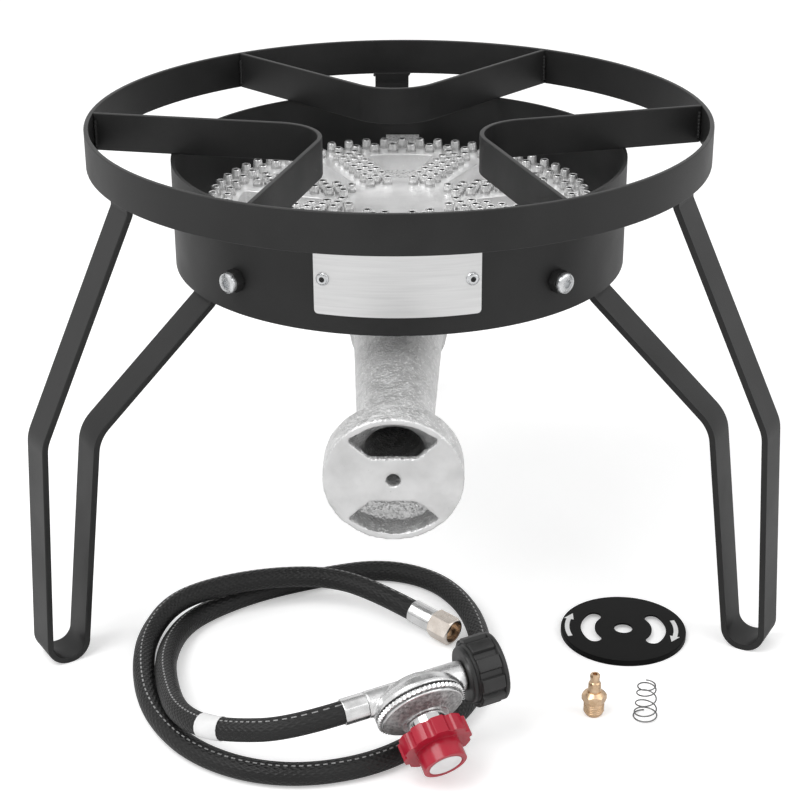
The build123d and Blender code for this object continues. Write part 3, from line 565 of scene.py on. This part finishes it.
regulator = {
    "centre": Vector((11.1, -251.8, 45.6)),
    "ports": Vector((0.917, 0.389243, 0.087156)),
    "knob": Vector((0.378497, -0.780153, -0.498097)),
    "ferruleEnd": -45.0, "hoseLead": -78.3, "springSeat": 12.35,
}
hose = {
    "diameter": 14.0, "length": 1144.0, "steps": 10, "sides": 6,
    "points": [
        (-93.0, -275.0, 32.5), (-115.0, -263.0, 28.0), (-131.5, -240.5, 23.5), (-141.0, -207.0, 17.5),
        (-148.4, -169.5, 11.5), (-147.5, -131.0, 7.5), (-136.0, -102.0, 7.1), (-99.5, -70.5, 7.1),
        (-54.1, -49.0, 7.1), (-13.4, -37.0, 7.1), (22.9, -51.5, 7.1), (44.5, -84.5, 7.1),
        (54.3, -126.0, 7.1), (55.0, -171.0, 7.1), (41.5, -213.0, 7.1), (15.0, -249.5, 7.1),
        (-15.2, -273.0, 7.1), (-55.0, -283.5, 7.1), (-93.2, -276.5, 7.1), (-128.0, -252.5, 7.1),
        (-152.5, -212.0, 7.1), (-163.0, -168.0, 7.1), (-164.5, -132.5, 9.5), (-150.5, -105.5, 19.5),
        (-121.0, -90.0, 23.2), (-84.5, -77.0, 22.8), (-47.5, -74.0, 21.5), (-16.4, -85.3, 17.4),
        (10.0, -106.8, 14.0),
    ],
}


def portPoint(station):
    return regulator["centre"] + regulator["ports"] * station


routePoints = [portPoint(regulator["ferruleEnd"]), portPoint(regulator["hoseLead"])]
routePoints += [Vector(point) for point in hose["points"]]


def makeRoute(name, thickness):
    curve = newCurve(
        name, dimensions="3D", resolution_u=hose["steps"], twist_mode="Z_UP",
        bevel_depth=thickness * mm, bevel_resolution=hose["sides"], use_fill_caps=thickness > 0,
    )
    spline = addSpline(curve, "NURBS", [place * mm for place in routePoints])
    spline.order_u = 3
    spline.use_endpoint_u = True
    spline.resolution_u = hose["steps"]
    return linkObject(name, curve)


# Rubber with the imprint of its woven cover, and a plain dashed line along its top
def makeHoseRubber():
    look = {
        "tones": (0.006, 0.012, 0.34), "scales": (30.0, 1500.0, 900.0),
        "roughness": (0.4, 0.52), "bump": (0.5, 0.35), "specular": 0.3,
        "weaveAlong": 225.0, "weaveRound": 14.0, "lineMiddle": 0.15, "lineHalf": 0.011,
        "dashes": 250.0, "dashShare": 0.55, "wearSpread": (-0.3, 0.6),
    }
    finish, tree = newFinish("hoseRubber")

    def rule(operation, *values):
        return mathNode(tree, operation, *values)

    place = tree.nodes.new("ShaderNodeTexCoord")
    split = tree.nodes.new("ShaderNodeSeparateXYZ")
    tree.links.new(place.outputs["UV"], split.inputs["Vector"])
    along = split.outputs["X"]
    around = split.outputs["Y"]
    grain = grainOf(tree, look)
    dark, light, printed = look["tones"]
    alongWave = rule("MULTIPLY", along, look["weaveAlong"] * fullTurn)
    aroundWave = rule("MULTIPLY", around, look["weaveRound"] * fullTurn)
    lean = rule("SINE", rule("ADD", alongWave, aroundWave))
    counter = rule("SINE", rule("SUBTRACT", alongWave, aroundWave))
    fromLine = rule("ABSOLUTE", rule("SUBTRACT", around, look["lineMiddle"]))
    onLine = rule("LESS_THAN", fromLine, look["lineHalf"])
    dash = rule("LESS_THAN", rule("FRACT", rule("MULTIPLY", along, look["dashes"])), look["dashShare"])
    wear = mapRange(tree, grain["fine"], "From", *look["wearSpread"])
    mask = rule("MULTIPLY", rule("MULTIPLY", onLine, dash), wear)
    base = mixTones(tree, grain["broad"], dark, light)
    tone = mixTones(tree, mask, base, printed)
    dressShader(tree, look, grain, tone, rule("MAXIMUM", lean, counter))
    return finish


finishes["hoseRubber"] = makeHoseRubber()
hosePiece = makeRoute("hose_line", hose["diameter"] / 2)
settle(hosePiece, "hoseRubber", "hose_rubber", "hose")
print("hose laid")

# Stand: ring, pot bars, legs and screen in the black coat
stand = {
    "edge": 0.7, "segments": 3, "nutEdge": 0.5, "legTop": 300.4, "trimRadius": 210.0, "trimHeight": 40.0,
}
for nodeName in ("pot_ring", "trivet_back", "trivet_left", "trivet_right", "windscreen"):
    dressNode(nodeName, nodeName + "_coated", stand["edge"], "blackCoat", "black_coat", stand["segments"])

# The legs' upper ends are cut short, as the ring's inside is plain in the photograph
for nodeName in ("leg_back", "leg_left", "leg_right"):
    piece = nodeCopy(nodeName, nodeName + "_coated")
    trim = cutBlank("leg_trim", [roundOutline(stand["trimRadius"], count=48)], stand["trimHeight"])
    lift(trim, stand["legTop"])
    combine(piece, trim, "DIFFERENCE")
    easeEdges(piece, stand["edge"], stand["segments"])
    smoothSides(piece)
    settle(piece, "blackCoat", "black_coat", nodeName)
dressNode("weld_nuts", "weld_nuts_coated", stand["nutEdge"], "blackCoat", "black_coat")

# Weld beads where the pot bars and the legs meet the ring
weld = {
    "azimuths": (92.5, 212.5, 332.5), "spread": 33.5, "corner": 48.0, "ringInside": 200.0, "barHalf": 1.5,
    "bottom": 302.0, "rise": 17.5, "bead": 2.8, "ripple": 0.25, "ripplePitch": 2.5, "steps": 28,
    "legHalf": 12.7, "legRadius": 198.6, "legBottom": 297.6, "legRise": 2.4, "legBead": 2.0,
}


def makeBead(rise, thickness):
    def pointAt(share):
        ripple = weld["ripple"] * math.sin(fullTurn * rise * share / weld["ripplePitch"])
        return Vector((ripple, ripple, rise * share))

    return wound("weld_bead", pointAt, weld["steps"], thickness)


beads = []
for azimuth in weld["azimuths"]:
    for arm in (-1, 1):
        end = radial(azimuth + arm * weld["spread"]) * weld["ringInside"]
        along = (end - radial(azimuth) * weld["corner"]).normalized()
        across = along.cross(upward)
        for face in (-1, 1):
            bead = makeBead(weld["rise"], weld["bead"])
            foot = end - along * weld["barHalf"] + across * face * weld["barHalf"]
            placeAt(bead, foot + upward * weld["bottom"], upward, along)
            beads.append(bead)
        bead = makeBead(weld["legRise"], weld["legBead"])
        side = radial(azimuth).cross(upward) * arm * weld["legHalf"]
        foot = radial(azimuth) * weld["legRadius"] + side + upward * weld["legBottom"]
        beads.append(placeAt(bead, foot, upward, radial(azimuth)))
piece = joinPieces(*beads)
piece.name = "stand_welds"
settle(piece, "blackCoat", "black_coat")
print("stand dressed, welds:", len(beads))

# Blank plate with its two pop rivets
plate = {
    "edge": 0.2, "azimuth": 270.5, "rivetTurn": 17.3, "rivetHeight": 263.5, "seatRadius": 150.2,
    "rivet": [
        (1.5, -3.0), (1.5, 0.0), (3.9, 0.0), (4.1, 0.3), (3.9, 0.9), (3.0, 1.5), (2.1, 1.7),
        (1.7, 1.5), (1.5, -0.6),
    ],
    "holeRadius": 1.72, "holeBottom": -1.0,
}
dressNode("nameplate", "nameplate_brushed", plate["edge"], "plateAluminium", "plate_aluminium")


def inRivetHole(middle, normal):
    return middle.z > plate["holeBottom"] and math.hypot(middle.x, middle.y) < plate["holeRadius"]


rivetPieces = []
for side in (-1, 1):
    rivet = turned("pop_rivet", plate["rivet"], steps=32)
    # The faces inside the rivet's hole take painted shade
    finishOrShadeByFace(rivet, ("zincBright", "portShade"), inRivetHole)
    out = radial(plate["azimuth"] + side * plate["rivetTurn"])
    placeAt(rivet, out * plate["seatRadius"] + upward * plate["rivetHeight"], out, upward)
    smoothSides(rivet, angle=40)
    rivetPieces.append(rivet)
piece = joinPieces(*rivetPieces)
piece.name = "pop_rivets"
settle(piece, "zincBright", "zinc", "nameplate_rivets")
print("plate riveted")

# Bolts of the burner: low round heads with a hexagon socket
burnerBolt = {
    "azimuths": (90.0, 229.0, 311.0), "height": 251.2, "seatRadius": 154.7,
    "profile": [
        (4.0, -24.2), (4.0, 0.0), (6.2, 0.0), (6.65, 0.5), (6.65, 2.2), (6.2, 3.2), (5.2, 3.8), (3.6, 4.0),
    ],
    "socket": [(2.75, 1.5), (2.75, 3.8), (3.1, 4.4)], "mixerEdge": 0.4, "gasketEdge": 0.2,
}
boltPieces = []
for azimuth in burnerBolt["azimuths"]:
    bolt = turned("burner_bolt", burnerBolt["profile"], steps=48)
    combine(bolt, turned("bolt_socket", burnerBolt["socket"], steps=6), "DIFFERENCE")
    out = radial(azimuth)
    placeAt(bolt, out * burnerBolt["seatRadius"] + upward * burnerBolt["height"], out, upward)
    smoothSides(bolt, angle=32)
    boltPieces.append(bolt)
piece = joinPieces(*boltPieces)
piece.name = "burner_bolts_zinc"
settle(piece, "zincBright", "zinc", "burner_bolts")
dressNode("mixer_bolts", "mixer_bolts_dressed", burnerBolt["mixerEdge"], "zincBright", "zinc")
dressNode("mixer_gasket", "mixer_gasket_dressed", burnerBolt["gasketEdge"], "gasketFibre", "gasket")
print("bolts set")

# Jet plate: a star of eight arms between eight fans, with rows of drilled jets
jetPlate = {
    "bottom": 252.3, "thickness": 12.2, "radius": 128.6, "rounding": 0.7, "arms": 8,
    "fanInner": 51.7, "fanInnerHalf": 6.0, "fanOuter": 106.8, "fanOuterHalf": 22.8, "fanCorner": 3.0,
    "fanSteps": 16, "fanTrim": 3,
    "jet": [(3.5, -0.2), (3.4, 0.35), (3.2, 0.88), (2.8, 1.0), (1.7, 0.98), (1.6, 0.1)],
    "boreRadius": 1.75, "footShadeTop": 1.2, "jetHeight": 5.5, "rimJetHeight": 6.5,
    "outerRow": (123.5, 60), "innerRow": (114.0, 54),
    "armStart": 38.0, "armPitch": 10.7, "armOffset": 6.2, "sideJets": 7, "middleJets": 6,
}


# Corner between two straight edges, rounded by a few points
def roundedCorner(before, corner, after, reach):
    start = corner + (before - corner).normalized() * reach
    end = corner + (after - corner).normalized() * reach
    shares = (0.0, 0.25, 0.5, 0.75, 1.0)
    return [start * (1 - t) ** 2 + corner * 2 * t * (1 - t) + end * t**2 for t in shares]


def fanOutline():
    reach, trim = jetPlate["fanCorner"], jetPlate["fanTrim"]
    outer = jetPlate["fanOuter"]
    swing = math.degrees(math.asin(jetPlate["fanOuterHalf"] / outer))
    innerLow = Vector((jetPlate["fanInner"], -jetPlate["fanInnerHalf"]))
    innerHigh = Vector((jetPlate["fanInner"], jetPlate["fanInnerHalf"]))
    arc = [Vector(point) for point in arcPoints(outer, -swing, swing, jetPlate["fanSteps"])]
    outerLow, outerHigh = arc[0], arc[-1]
    points = roundedCorner(outerLow, innerLow, innerHigh, reach)[::-1]
    points += roundedCorner(innerLow, outerLow, arc[trim], reach)
    points += arc[trim:-trim]
    points += roundedCorner(arc[-trim - 1], outerHigh, innerHigh, reach)
    points += roundedCorner(outerHigh, innerHigh, innerLow, reach)
    return points


def turnedPoints(points, angle):
    turn = Matrix.Rotation(math.radians(angle), 2)
    return [tuple(turn @ Vector(point)) for point in points]


def jetPlaces():
    armAngle = 360 / jetPlate["arms"]
    armJets = []
    for step in range(jetPlate["sideJets"]):
        along = jetPlate["armStart"] + jetPlate["armPitch"] * step
        armJets += [(along, jetPlate["armOffset"]), (along, -jetPlate["armOffset"])]
    for step in range(jetPlate["middleJets"]):
        armJets.append((jetPlate["armStart"] + jetPlate["armPitch"] * (step + 0.5), 0))
    low = roundOutline(*jetPlate["innerRow"])
    for arm in range(jetPlate["arms"]):
        low += turnedPoints(armJets, armAngle * (arm + 0.5))
    return low, roundOutline(*jetPlate["outerRow"])


# Bright side, painted shade in the bore, and a foot darkened with painted shade where the jets crowd
# together
def jetFinish(middle, normal):
    if math.hypot(middle.x, middle.y) < jetPlate["boreRadius"]:
        return 1
    return 2 if middle.z < jetPlate["footShadeTop"] else 0


fans = [turnedPoints(fanOutline(), 360 / jetPlate["arms"] * fan) for fan in range(jetPlate["arms"])]
star = cutBlank(
    "jet_plate_cast", [roundOutline(jetPlate["radius"], count=160)] + fans,
    jetPlate["thickness"], jetPlate["rounding"], roundSteps=2,
)
lift(star, jetPlate["bottom"])
smoothSides(star, angle=40)
star.data.materials.append(finishes["castSilver"])
deck = jetPlate["bottom"] + jetPlate["thickness"]
jetPieces = []
for places, jetHeight in zip(jetPlaces(), (jetPlate["jetHeight"], jetPlate["rimJetHeight"])):
    jet = turned("jet", [(radius, share * jetHeight) for radius, share in jetPlate["jet"]], steps=10)
    smoothSides(jet, angle=42)
    # Jet sides bright, bores and feet in painted shade
    finishOrShadeByFace(jet, ("jetSilver", "portShade", "jetFootPaintedShade"), jetFinish)
    for x, y in places:
        post = linkObject("jet_post", jet.data.copy())
        post.data.transform(Matrix.Translation(Vector((x, y, deck)) * mm))
        jetPieces.append(post)
    bpy.data.objects.remove(jet)
piece = joinPieces(star, *jetPieces)
settle(piece, "castSilver", "cast_silver", "jet_plate")
print("jets cast:", len(jetPieces))

# Bowl under the plate, and the mixer tube with its bell
castings = {
    "bowlEdge": 0.8, "voxel": 1.2, "passes": 4, "lumpSize": 4.0, "lumpHeight": 0.5,
    "bellOut": Vector((0, -0.99452, -0.10453)), "bellFace": Vector((0, -238.19, 176.67)),
    "faceDepth": 0.9, "faceFlat": 0.8,
}


# The bell's flat face is smoother than the rest of the casting
def onBellFace(middle, normal):
    depth = (middle - castings["bellFace"]).dot(castings["bellOut"])
    return depth > -castings["faceDepth"] and normal.dot(castings["bellOut"]) > castings["faceFlat"]


dressNode("burner_head", "burner_bowl_cast", castings["bowlEdge"], "castFloor", "cast_silver")
piece = castCopy("mixer_tube", "mixer_tube_cast", castings["voxel"], castings["passes"])
lumps = bpy.data.textures.new("castLumps", "CLOUDS")
lumps.noise_scale = castings["lumpSize"] * mm
useModifier(piece, "DISPLACE", texture=lumps, strength=castings["lumpHeight"] * mm, mid_level=0.5)
smoothSides(piece, angle=60)
finishOrShadeByFace(piece, ("castRough", "castFace"), onBellFace)
settle(piece, "castRough", "cast_silver", "mixer_tube")
print("castings dressed")

# Air shutter: a pressed pan with a turned-down rim, two slots and two plain turning arrows
shutter = {
    "centre": Vector((149.3, -110.7, 0)), "turn": -4.0, "top": 4.0,
    "pan": [
        (6.0, 2.8), (40.2, 2.8), (40.2, 0.3), (40.5, 0.0), (41.1, 0.0), (41.4, 0.3), (41.4, 3.3),
        (41.2, 3.8), (40.7, 4.0), (6.3, 4.0), (6.0, 3.7), (6.0, 2.8),
    ],
    "slotRadius": 23.5, "slotHalfWidth": 4.65, "slotHalfArc": 35.5, "slotEdge": 0.2, "cutHeight": 12.0,
    "arrowWidth": 3.0, "arrowTail": 20.0, "arrowNeck": -14.0, "arrowTip": -26.0, "arrowFlare": 1.8,
    "arrowSheet": 0.06, "arrows": (("arrow_left", 180, 35.7), ("arrow_right", 0, 33.2)),
}


# Slot along an arc, with round ends
def slotOutline(middle):
    radius, half, swing = shutter["slotRadius"], shutter["slotHalfWidth"], shutter["slotHalfArc"]
    points = []
    for side, lead in ((1, 0), (-1, 180)):
        end = middle + side * swing
        points += arcPoints(radius + side * half, middle - side * swing, end, count=24)
        centre = Vector(arcPoint(radius, end))
        cap = arcPoints(half, end + lead, end + lead + 180, count=8)
        points += [tuple(centre + Vector(point)) for point in cap[1:-1]]
    return points


# Arc with a head at its far end
def arrowOutline(middle, inner):
    outer = inner + shutter["arrowWidth"]
    flare = shutter["arrowFlare"]
    tail, neck, tip = (middle + shutter[key] for key in ("arrowTail", "arrowNeck", "arrowTip"))
    head = [arcPoint(outer + flare, neck), arcPoint((inner + outer) / 2, tip), arcPoint(inner - flare, neck)]
    return arcPoints(outer, tail, neck, count=12) + head + arcPoints(inner, neck, tail, count=12)


shutterAcross = radial(shutter["turn"])
disc = turned("air_shutter_disc", shutter["pan"], steps=128)
for middle in (0, 180):
    combine(disc, cutBlank("shutter_slot", [slotOutline(middle)], shutter["cutHeight"]), "DIFFERENCE")
easeEdges(disc, shutter["slotEdge"], segments=1, angle=60)
smoothSides(disc, angle=40)
placeAt(disc, shutter["centre"], upward, shutterAcross)
settle(disc, "shutterBlack", "shutter_black", "air_shutter", body="air_shutter")
for name, middle, inner in shutter["arrows"]:
    arrow = cutBlank(name, [arrowOutline(middle, inner)], shutter["arrowSheet"])
    placeAt(arrow, shutter["centre"] + upward * shutter["top"], upward, shutterAcross)
    settle(arrow, "arrowWhite", "label_white", body="air_shutter")
print("shutter cut")

# Orifice: threaded barrel, chamfered hexagon, neck and tip with a drilled end
orifice = {
    "place": Vector((122.3, -206.8, 0)), "across": Vector((1, 0, 0)),
    "body": [
        (2.9, 1.6), (3.0, 0.0), (4.4, 0.0), (5.6, 1.4), (6.1, 3.4), (6.2, 10.6), (4.4, 10.8), (4.1, 17.0),
        (3.9, 22.4), (3.5, 23.2), (2.9, 23.8), (2.9, 26.2), (3.1, 26.8), (3.1, 28.2), (2.6, 29.0),
        (1.5, 29.0), (1.2, 27.0),
    ],
    "hexFlats": 13.5, "hexBottom": 10.0, "hexHeight": 7.0, "hexRounding": 0.15,
    "hexChamfer": [(6.6, -0.1), (7.8, 1.4), (7.8, 4.4), (4.6, 7.1)],
    "threadStart": 2.2, "threadEnd": 9.8, "threadTurns": 6, "threadSteps": 120,
    "threadRadius": 5.95, "threadWire": 1.0,
}


def orificeThread(share):
    radius, low, high = orifice["threadRadius"], orifice["threadStart"], orifice["threadEnd"]
    turn = fullTurn * orifice["threadTurns"] * share
    return Vector((math.cos(turn) * radius, math.sin(turn) * radius, low + (high - low) * share))


fitting = turned("orifice_brass", orifice["body"], steps=48)
smoothSides(fitting, angle=32)
hexOutline = roundOutline(orifice["hexFlats"] / math.sqrt(3), count=6)
hexagon = cutBlank(
    "orifice_hexagon", [hexOutline], orifice["hexHeight"], orifice["hexRounding"], roundSteps=1,
)
combine(hexagon, turned("orifice_chamfer", orifice["hexChamfer"], steps=48), "INTERSECT")
lift(hexagon, orifice["hexBottom"])
smoothSides(hexagon, angle=20)
thread = wound("orifice_thread", orificeThread, orifice["threadSteps"], orifice["threadWire"])
piece = joinPieces(fitting, hexagon, thread)
placeAt(piece, orifice["place"], upward, orifice["across"])
settle(piece, "brass", "brass", "orifice_fitting")
print("orifice turned")

# Wound springs: the loose one for the shutter, and the one in the regulator
shutterSpring = {
    "origin": Vector((153.9, -210.0, 0)), "along": upward, "across": Vector((0, 1, 0)),
    "base": 15.7, "top": 11.2, "height": 24.0, "turns": 5, "steps": 240, "wire": 0.9, "endSlope": 0.3,
}
regulatorSpring = {
    "origin": regulator["centre"] + regulator["knob"] * regulator["springSeat"],
    "along": regulator["knob"], "across": regulator["ports"],
    "base": 11.6, "top": 11.6, "height": 8.0, "turns": 4, "steps": 192, "wire": 1.2, "endSlope": 1.0,
}


def makeSpring(name, spring):
    ease = (1 - spring["endSlope"]) / fullTurn

    def pointAt(share):
        turn = fullTurn * spring["turns"] * share
        radius = (spring["base"] - spring["wire"]) / 2 + share * (spring["top"] - spring["base"]) / 2
        climb = share - ease * math.sin(fullTurn * share)
        rise = spring["wire"] / 2 + (spring["height"] - spring["wire"]) * climb
        return Vector((radius * math.cos(turn), radius * math.sin(turn), rise))

    piece = wound(name, pointAt, spring["steps"], spring["wire"])
    return placeAt(piece, spring["origin"], spring["along"], spring["across"])


for nodeName, spring in (("shutter_spring", shutterSpring), ("regulator_spring", regulatorSpring)):
    settle(makeSpring(nodeName + "_wire", spring), "springSteel", "spring_steel", nodeName)
print("springs wound")

# Regulator: die-cast body, turned bonnet with a fine-toothed rim, collar
housing = {
    "voxel": 0.6, "passes": 5,
    "bonnet": [
        (22.0, 11.0), (26.2, 11.0), (26.4, 11.2), (26.4, 13.6), (25.0, 13.9), (24.9, 14.3), (25.3, 14.6),
        (25.2, 15.1), (24.6, 15.5), (15.6, 18.8), (14.6, 20.0), (9.0, 20.0), (9.0, 30.6), (8.6, 31.0),
        (7.1, 31.0), (7.1, 17.5), (11.5, 17.5), (22.0, 12.0), (22.0, 11.0),
    ],
    "teeth": 56, "toothSteps": 8, "toothRadius": 26.85, "toothDepth": 0.65, "toothRounding": 0.25,
    "ringInner": 25.8, "ringBase": 11.2, "ringHeight": 2.6,
    "coneOuter": 24.7, "coneInner": 15.0, "coneBase": 15.3, "seam": (13.65, 14.5),
    "collarEdge": 0.9, "nippleEdge": 0.4, "diaphragmEdge": 0.2,
    "knobEdge": 1.0, "labelEdge": 0.15, "labelShare": 0.92,
}


def toothRadius(turn):
    return housing["toothRadius"] + housing["toothDepth"] * math.sin(housing["teeth"] * turn)


# The cone is bare and darker; the seam under the toothed rim gets the same darker finish as painted shade
def onConeOrShadedSeam(middle, normal):
    radius = math.hypot(middle.x, middle.y)
    inSeam = housing["seam"][0] < middle.z < housing["seam"][1] and radius > housing["coneOuter"]
    onSlope = housing["coneInner"] < radius < housing["coneOuter"] and middle.z > housing["coneBase"]
    return inSeam or onSlope


piece = castCopy("regulator_body", "regulator_body_cast", housing["voxel"], housing["passes"])
smoothSides(piece, angle=60)
settle(piece, "dieCast", "die_cast", "regulator_body")
bonnet = turned("regulator_bonnet_cast", housing["bonnet"], steps=96)
smoothSides(bonnet, angle=32)
# Darker finish on the cone, and painted shade in the seam under the toothed rim
finishOrShadeByFace(bonnet, ("dieCast", "dieCastDark"), onConeOrShadedSeam)
rimOutlines = [
    shapedOutline(toothRadius, housing["teeth"] * housing["toothSteps"]),
    roundOutline(housing["ringInner"], count=96),
]
teeth = cutBlank("bonnet_teeth", rimOutlines, housing["ringHeight"], housing["toothRounding"], roundSteps=1)
smoothSides(teeth, angle=40)
teeth.data.materials.append(finishes["dieCast"])
lift(teeth, housing["ringBase"])
piece = joinPieces(bonnet, teeth)
placeAt(piece, regulator["centre"], regulator["knob"], regulator["ports"])
settle(piece, "dieCast", "die_cast", "regulator_bonnet")
dressNode("collar", "collar_chromed", housing["collarEdge"], "collarChrome", "collar_chrome", segments=3)
dressNode("inlet_nipple", "inlet_nipple_dressed", housing["nippleEdge"], "brass", "brass")
dressNode("diaphragm", "diaphragm_dressed", housing["diaphragmEdge"], "diaphragmRubber", "diaphragm_rubber")
dressNode("knob", "knob_dressed", housing["knobEdge"], "knobRed", "knob_red", segments=3, body="knob")

# The label is a little smaller than its recess
piece = easedCopy("knob_label", "knob_label_dressed", housing["labelEdge"], segments=3)
toMiddle = Matrix.Translation(nodeMiddle("knob_label"))
piece.data.transform(toMiddle @ Matrix.Scale(housing["labelShare"], 4) @ toMiddle.inverted())
settle(piece, "labelWhite", "label_white", "knob_label", body="knob")

# Hidden pieces keep their own shapes and only change their finish
for nodeName, finishName in (
    ("valve_pin", "brass"), ("diaphragm_plate", "zincBright"), ("spring_cup", "zincBright"),
    ("adjusting_screw", "brass"), ("nipple_seal", "diaphragmRubber"),
):
    for materialSlot in nodes[nodeName].material_slots:
        materialSlot.material = finishes[finishName]

# Coupling nut: a shouldered shell with broad pads round its drum
couplingNut = {
    "back": 32.0,
    "shell": [
        (6.8, 0.0), (15.4, 0.0), (16.8, 0.4), (17.3, 1.2), (17.3, 2.6), (16.8, 3.2), (17.2, 3.8),
        (18.7, 5.2), (18.8, 18.4), (20.4, 19.4), (20.7, 20.2), (20.6, 21.2), (19.9, 22.0), (17.4, 22.0),
        (16.5, 21.2), (16.5, 10.5), (12.3, 10.5), (12.3, 4.0), (6.8, 4.0), (6.8, 0.0),
    ],
    "pads": 10, "padTop": 21.2, "groove": 2.2, "grooveShare": 0.17, "grooveSlope": 0.07,
    "padInner": 18.2, "padStart": 4.2, "padLength": 14.6, "padRounding": 0.8,
}


def padRadius(turn):
    fromGroove = abs(turn / fullTurn * couplingNut["pads"] % 1 - 0.5)
    cut = (couplingNut["grooveShare"] - fromGroove) / couplingNut["grooveSlope"] + 0.5
    return couplingNut["padTop"] - couplingNut["groove"] * min(max(cut, 0), 1)


shell = turned("coupling_nut_shell", couplingNut["shell"], steps=96)
padOutlines = [shapedOutline(padRadius, count=300), roundOutline(couplingNut["padInner"], count=96)]
pads = cutBlank(
    "coupling_nut_pads", padOutlines, couplingNut["padLength"], couplingNut["padRounding"], roundSteps=2,
)
lift(pads, couplingNut["padStart"])
for nutPart in (shell, pads):
    smoothSides(nutPart, angle=38)
piece = joinPieces(shell, pads)
placeAt(piece, portPoint(couplingNut["back"]), regulator["ports"], regulator["knob"])
settle(piece, "nutBlack", "nut_black", "coupling_nut", body="coupling_nut")
print("regulator dressed")

# Crimped ferrules and the flare nut
hoseEnds = {
    "ferruleRadius": 8.0, "crimps": 8, "crimpDepth": 0.3, "bore": 4.0, "rounding": 0.6,
    "regulatorLength": 15.0, "flareLength": 18.0, "flareBore": 4.7, "tailEdge": 0.3, "nutStart": 18.3,
    "nutChamfer": [(8.4, 0.0), (9.9, 1.0), (9.9, 14.8), (8.3, 16.0)], "nutEdge": 0.15,
}
flareStart = routePoints[-1]
flareOut = (routePoints[-1] - routePoints[-2]).normalized()
flareSide = flareOut.cross(upward)


def crimpedRadius(turn):
    pinch = 0.5 + 0.5 * math.cos(hoseEnds["crimps"] * turn)
    return hoseEnds["ferruleRadius"] - hoseEnds["crimpDepth"] * pinch


def makeFerrule(name, length, bore):
    outlines = [shapedOutline(crimpedRadius, count=96), roundOutline(bore, count=32)]
    piece = cutBlank(name, outlines, length, hoseEnds["rounding"], roundSteps=2)
    smoothSides(piece, angle=40)
    return piece


nearFerrule = makeFerrule("ferrule_regulator_crimped", hoseEnds["regulatorLength"], hoseEnds["bore"])
placeAt(nearFerrule, portPoint(regulator["ferruleEnd"]), regulator["ports"], regulator["knob"])
settle(nearFerrule, "ferruleSteel", "ferrule_steel", "ferrule_regulator")
flareFerrule = makeFerrule("ferrule_flare_crimped", hoseEnds["flareLength"], hoseEnds["flareBore"])
placeAt(flareFerrule, flareStart, flareOut, flareSide)
settle(flareFerrule, "ferruleSteel", "ferrule_steel", "ferrule_flare")
flareTail = dressNode("flare_tail", "flare_tail_dressed", hoseEnds["tailEdge"], "brass", "brass")
flareNut = nodeCopy("flare_nut", "flare_nut_brass")
chamfer = turned("flare_nut_chamfer", hoseEnds["nutChamfer"], steps=48)
placeAt(chamfer, flareStart + flareOut * hoseEnds["nutStart"], flareOut, flareSide)
combine(flareNut, chamfer, "INTERSECT")
easeEdges(flareNut, hoseEnds["nutEdge"], segments=1, angle=40)
smoothSides(flareNut, angle=25)
settle(flareNut, "flareBrass", "ferrule_steel", "flare_nut", body="flare_nut")

# Blank band on the hose, along points read from the route
band = {"sheet": 0.4, "slip": 0.06, "halfLength": 8.0}


def makeBand():
    middle = nodeMiddle("hose_band")
    route = makeRoute("hose_middle", 0.0)
    line = bpy.data.meshes.new_from_object(route)
    heart = min((vertex.co for vertex in line.vertices), key=lambda place: (place - middle).length)
    near = [vertex.co for vertex in line.vertices if (vertex.co - heart).length < band["halfLength"] * mm]
    radius = hose["diameter"] / 2 + band["slip"]
    curve = newCurve(
        "hose_band_wrap", dimensions="3D", bevel_depth=radius * mm, bevel_resolution=hose["sides"],
    )
    addSpline(curve, "POLY", near)
    bpy.data.objects.remove(route)
    piece = finishCurve("hose_band_wrap", curve)
    useModifier(piece, "SOLIDIFY", thickness=band["sheet"] * mm, offset=1.0)
    smoothSides(piece, angle=40)
    return piece


bandPiece = settle(makeBand(), "labelWhite", "label_white", "hose_band")
print("hose ends crimped")

# Floor and light
studio = {
    "floorSize": 8.0, "floorTone": 0.92, "floorRoughness": 0.9, "floorGlow": 0.35, "skyLevel": 0.62,
    "lamps": (("keyLamp", 26.0, 1.4, (-1.0, -0.9, 1.9)), ("fillLamp", 10.0, 1.6, (1.5, -0.8, 1.3))),
    "lampTarget": Vector((0, 0, 0.15)),
}


def makeFloor():
    clearPick()
    bpy.ops.mesh.primitive_plane_add(size=studio["floorSize"], location=(0, 0, 0))
    floor = bpy.context.object
    floor.name = "studio_floor"
    material, tree = newFinish("floorWhite")
    shader = tree.nodes["Principled BSDF"]
    shader.inputs["Base Color"].default_value = toneOf(studio["floorTone"])
    shader.inputs["Roughness"].default_value = studio["floorRoughness"]
    shader.inputs["Emission Color"].default_value = toneOf(1.0)
    rays = tree.nodes.new("ShaderNodeLightPath")
    glow = mathNode(tree, "MULTIPLY", rays.outputs["Is Camera Ray"], studio["floorGlow"])
    tree.links.new(glow, shader.inputs["Emission Strength"])
    floor.data.materials.append(material)


def makeSky():
    world = bpy.data.worlds.new("studioSky")
    bpy.context.scene.world = world
    world.use_nodes = True
    tree = world.node_tree
    sky = tree.nodes["Background"]
    sky.inputs["Color"].default_value = toneOf(1.0)
    rays = tree.nodes.new("ShaderNodeLightPath").outputs
    seen = mathNode(tree, "MAXIMUM", rays["Is Camera Ray"], rays["Is Glossy Ray"])
    through = mathNode(tree, "MAXIMUM", seen, rays["Is Transmission Ray"])
    level = mapRange(tree, through, "To", studio["skyLevel"], 1.0)
    tree.links.new(level, sky.inputs["Strength"])


def makeLamp(name, power, size, place):
    data = bpy.data.lights.new(name, "AREA")
    data.energy = power
    data.size = size
    lamp = linkObject(name, data)
    lamp.location = place
    lamp.rotation_euler = (studio["lampTarget"] - Vector(place)).to_track_quat("-Z", "Y").to_euler()


makeFloor()
makeSky()
for lampValues in studio["lamps"]:
    makeLamp(*lampValues)
bpy.context.scene.view_settings.view_transform = "Standard"
print("studio set")
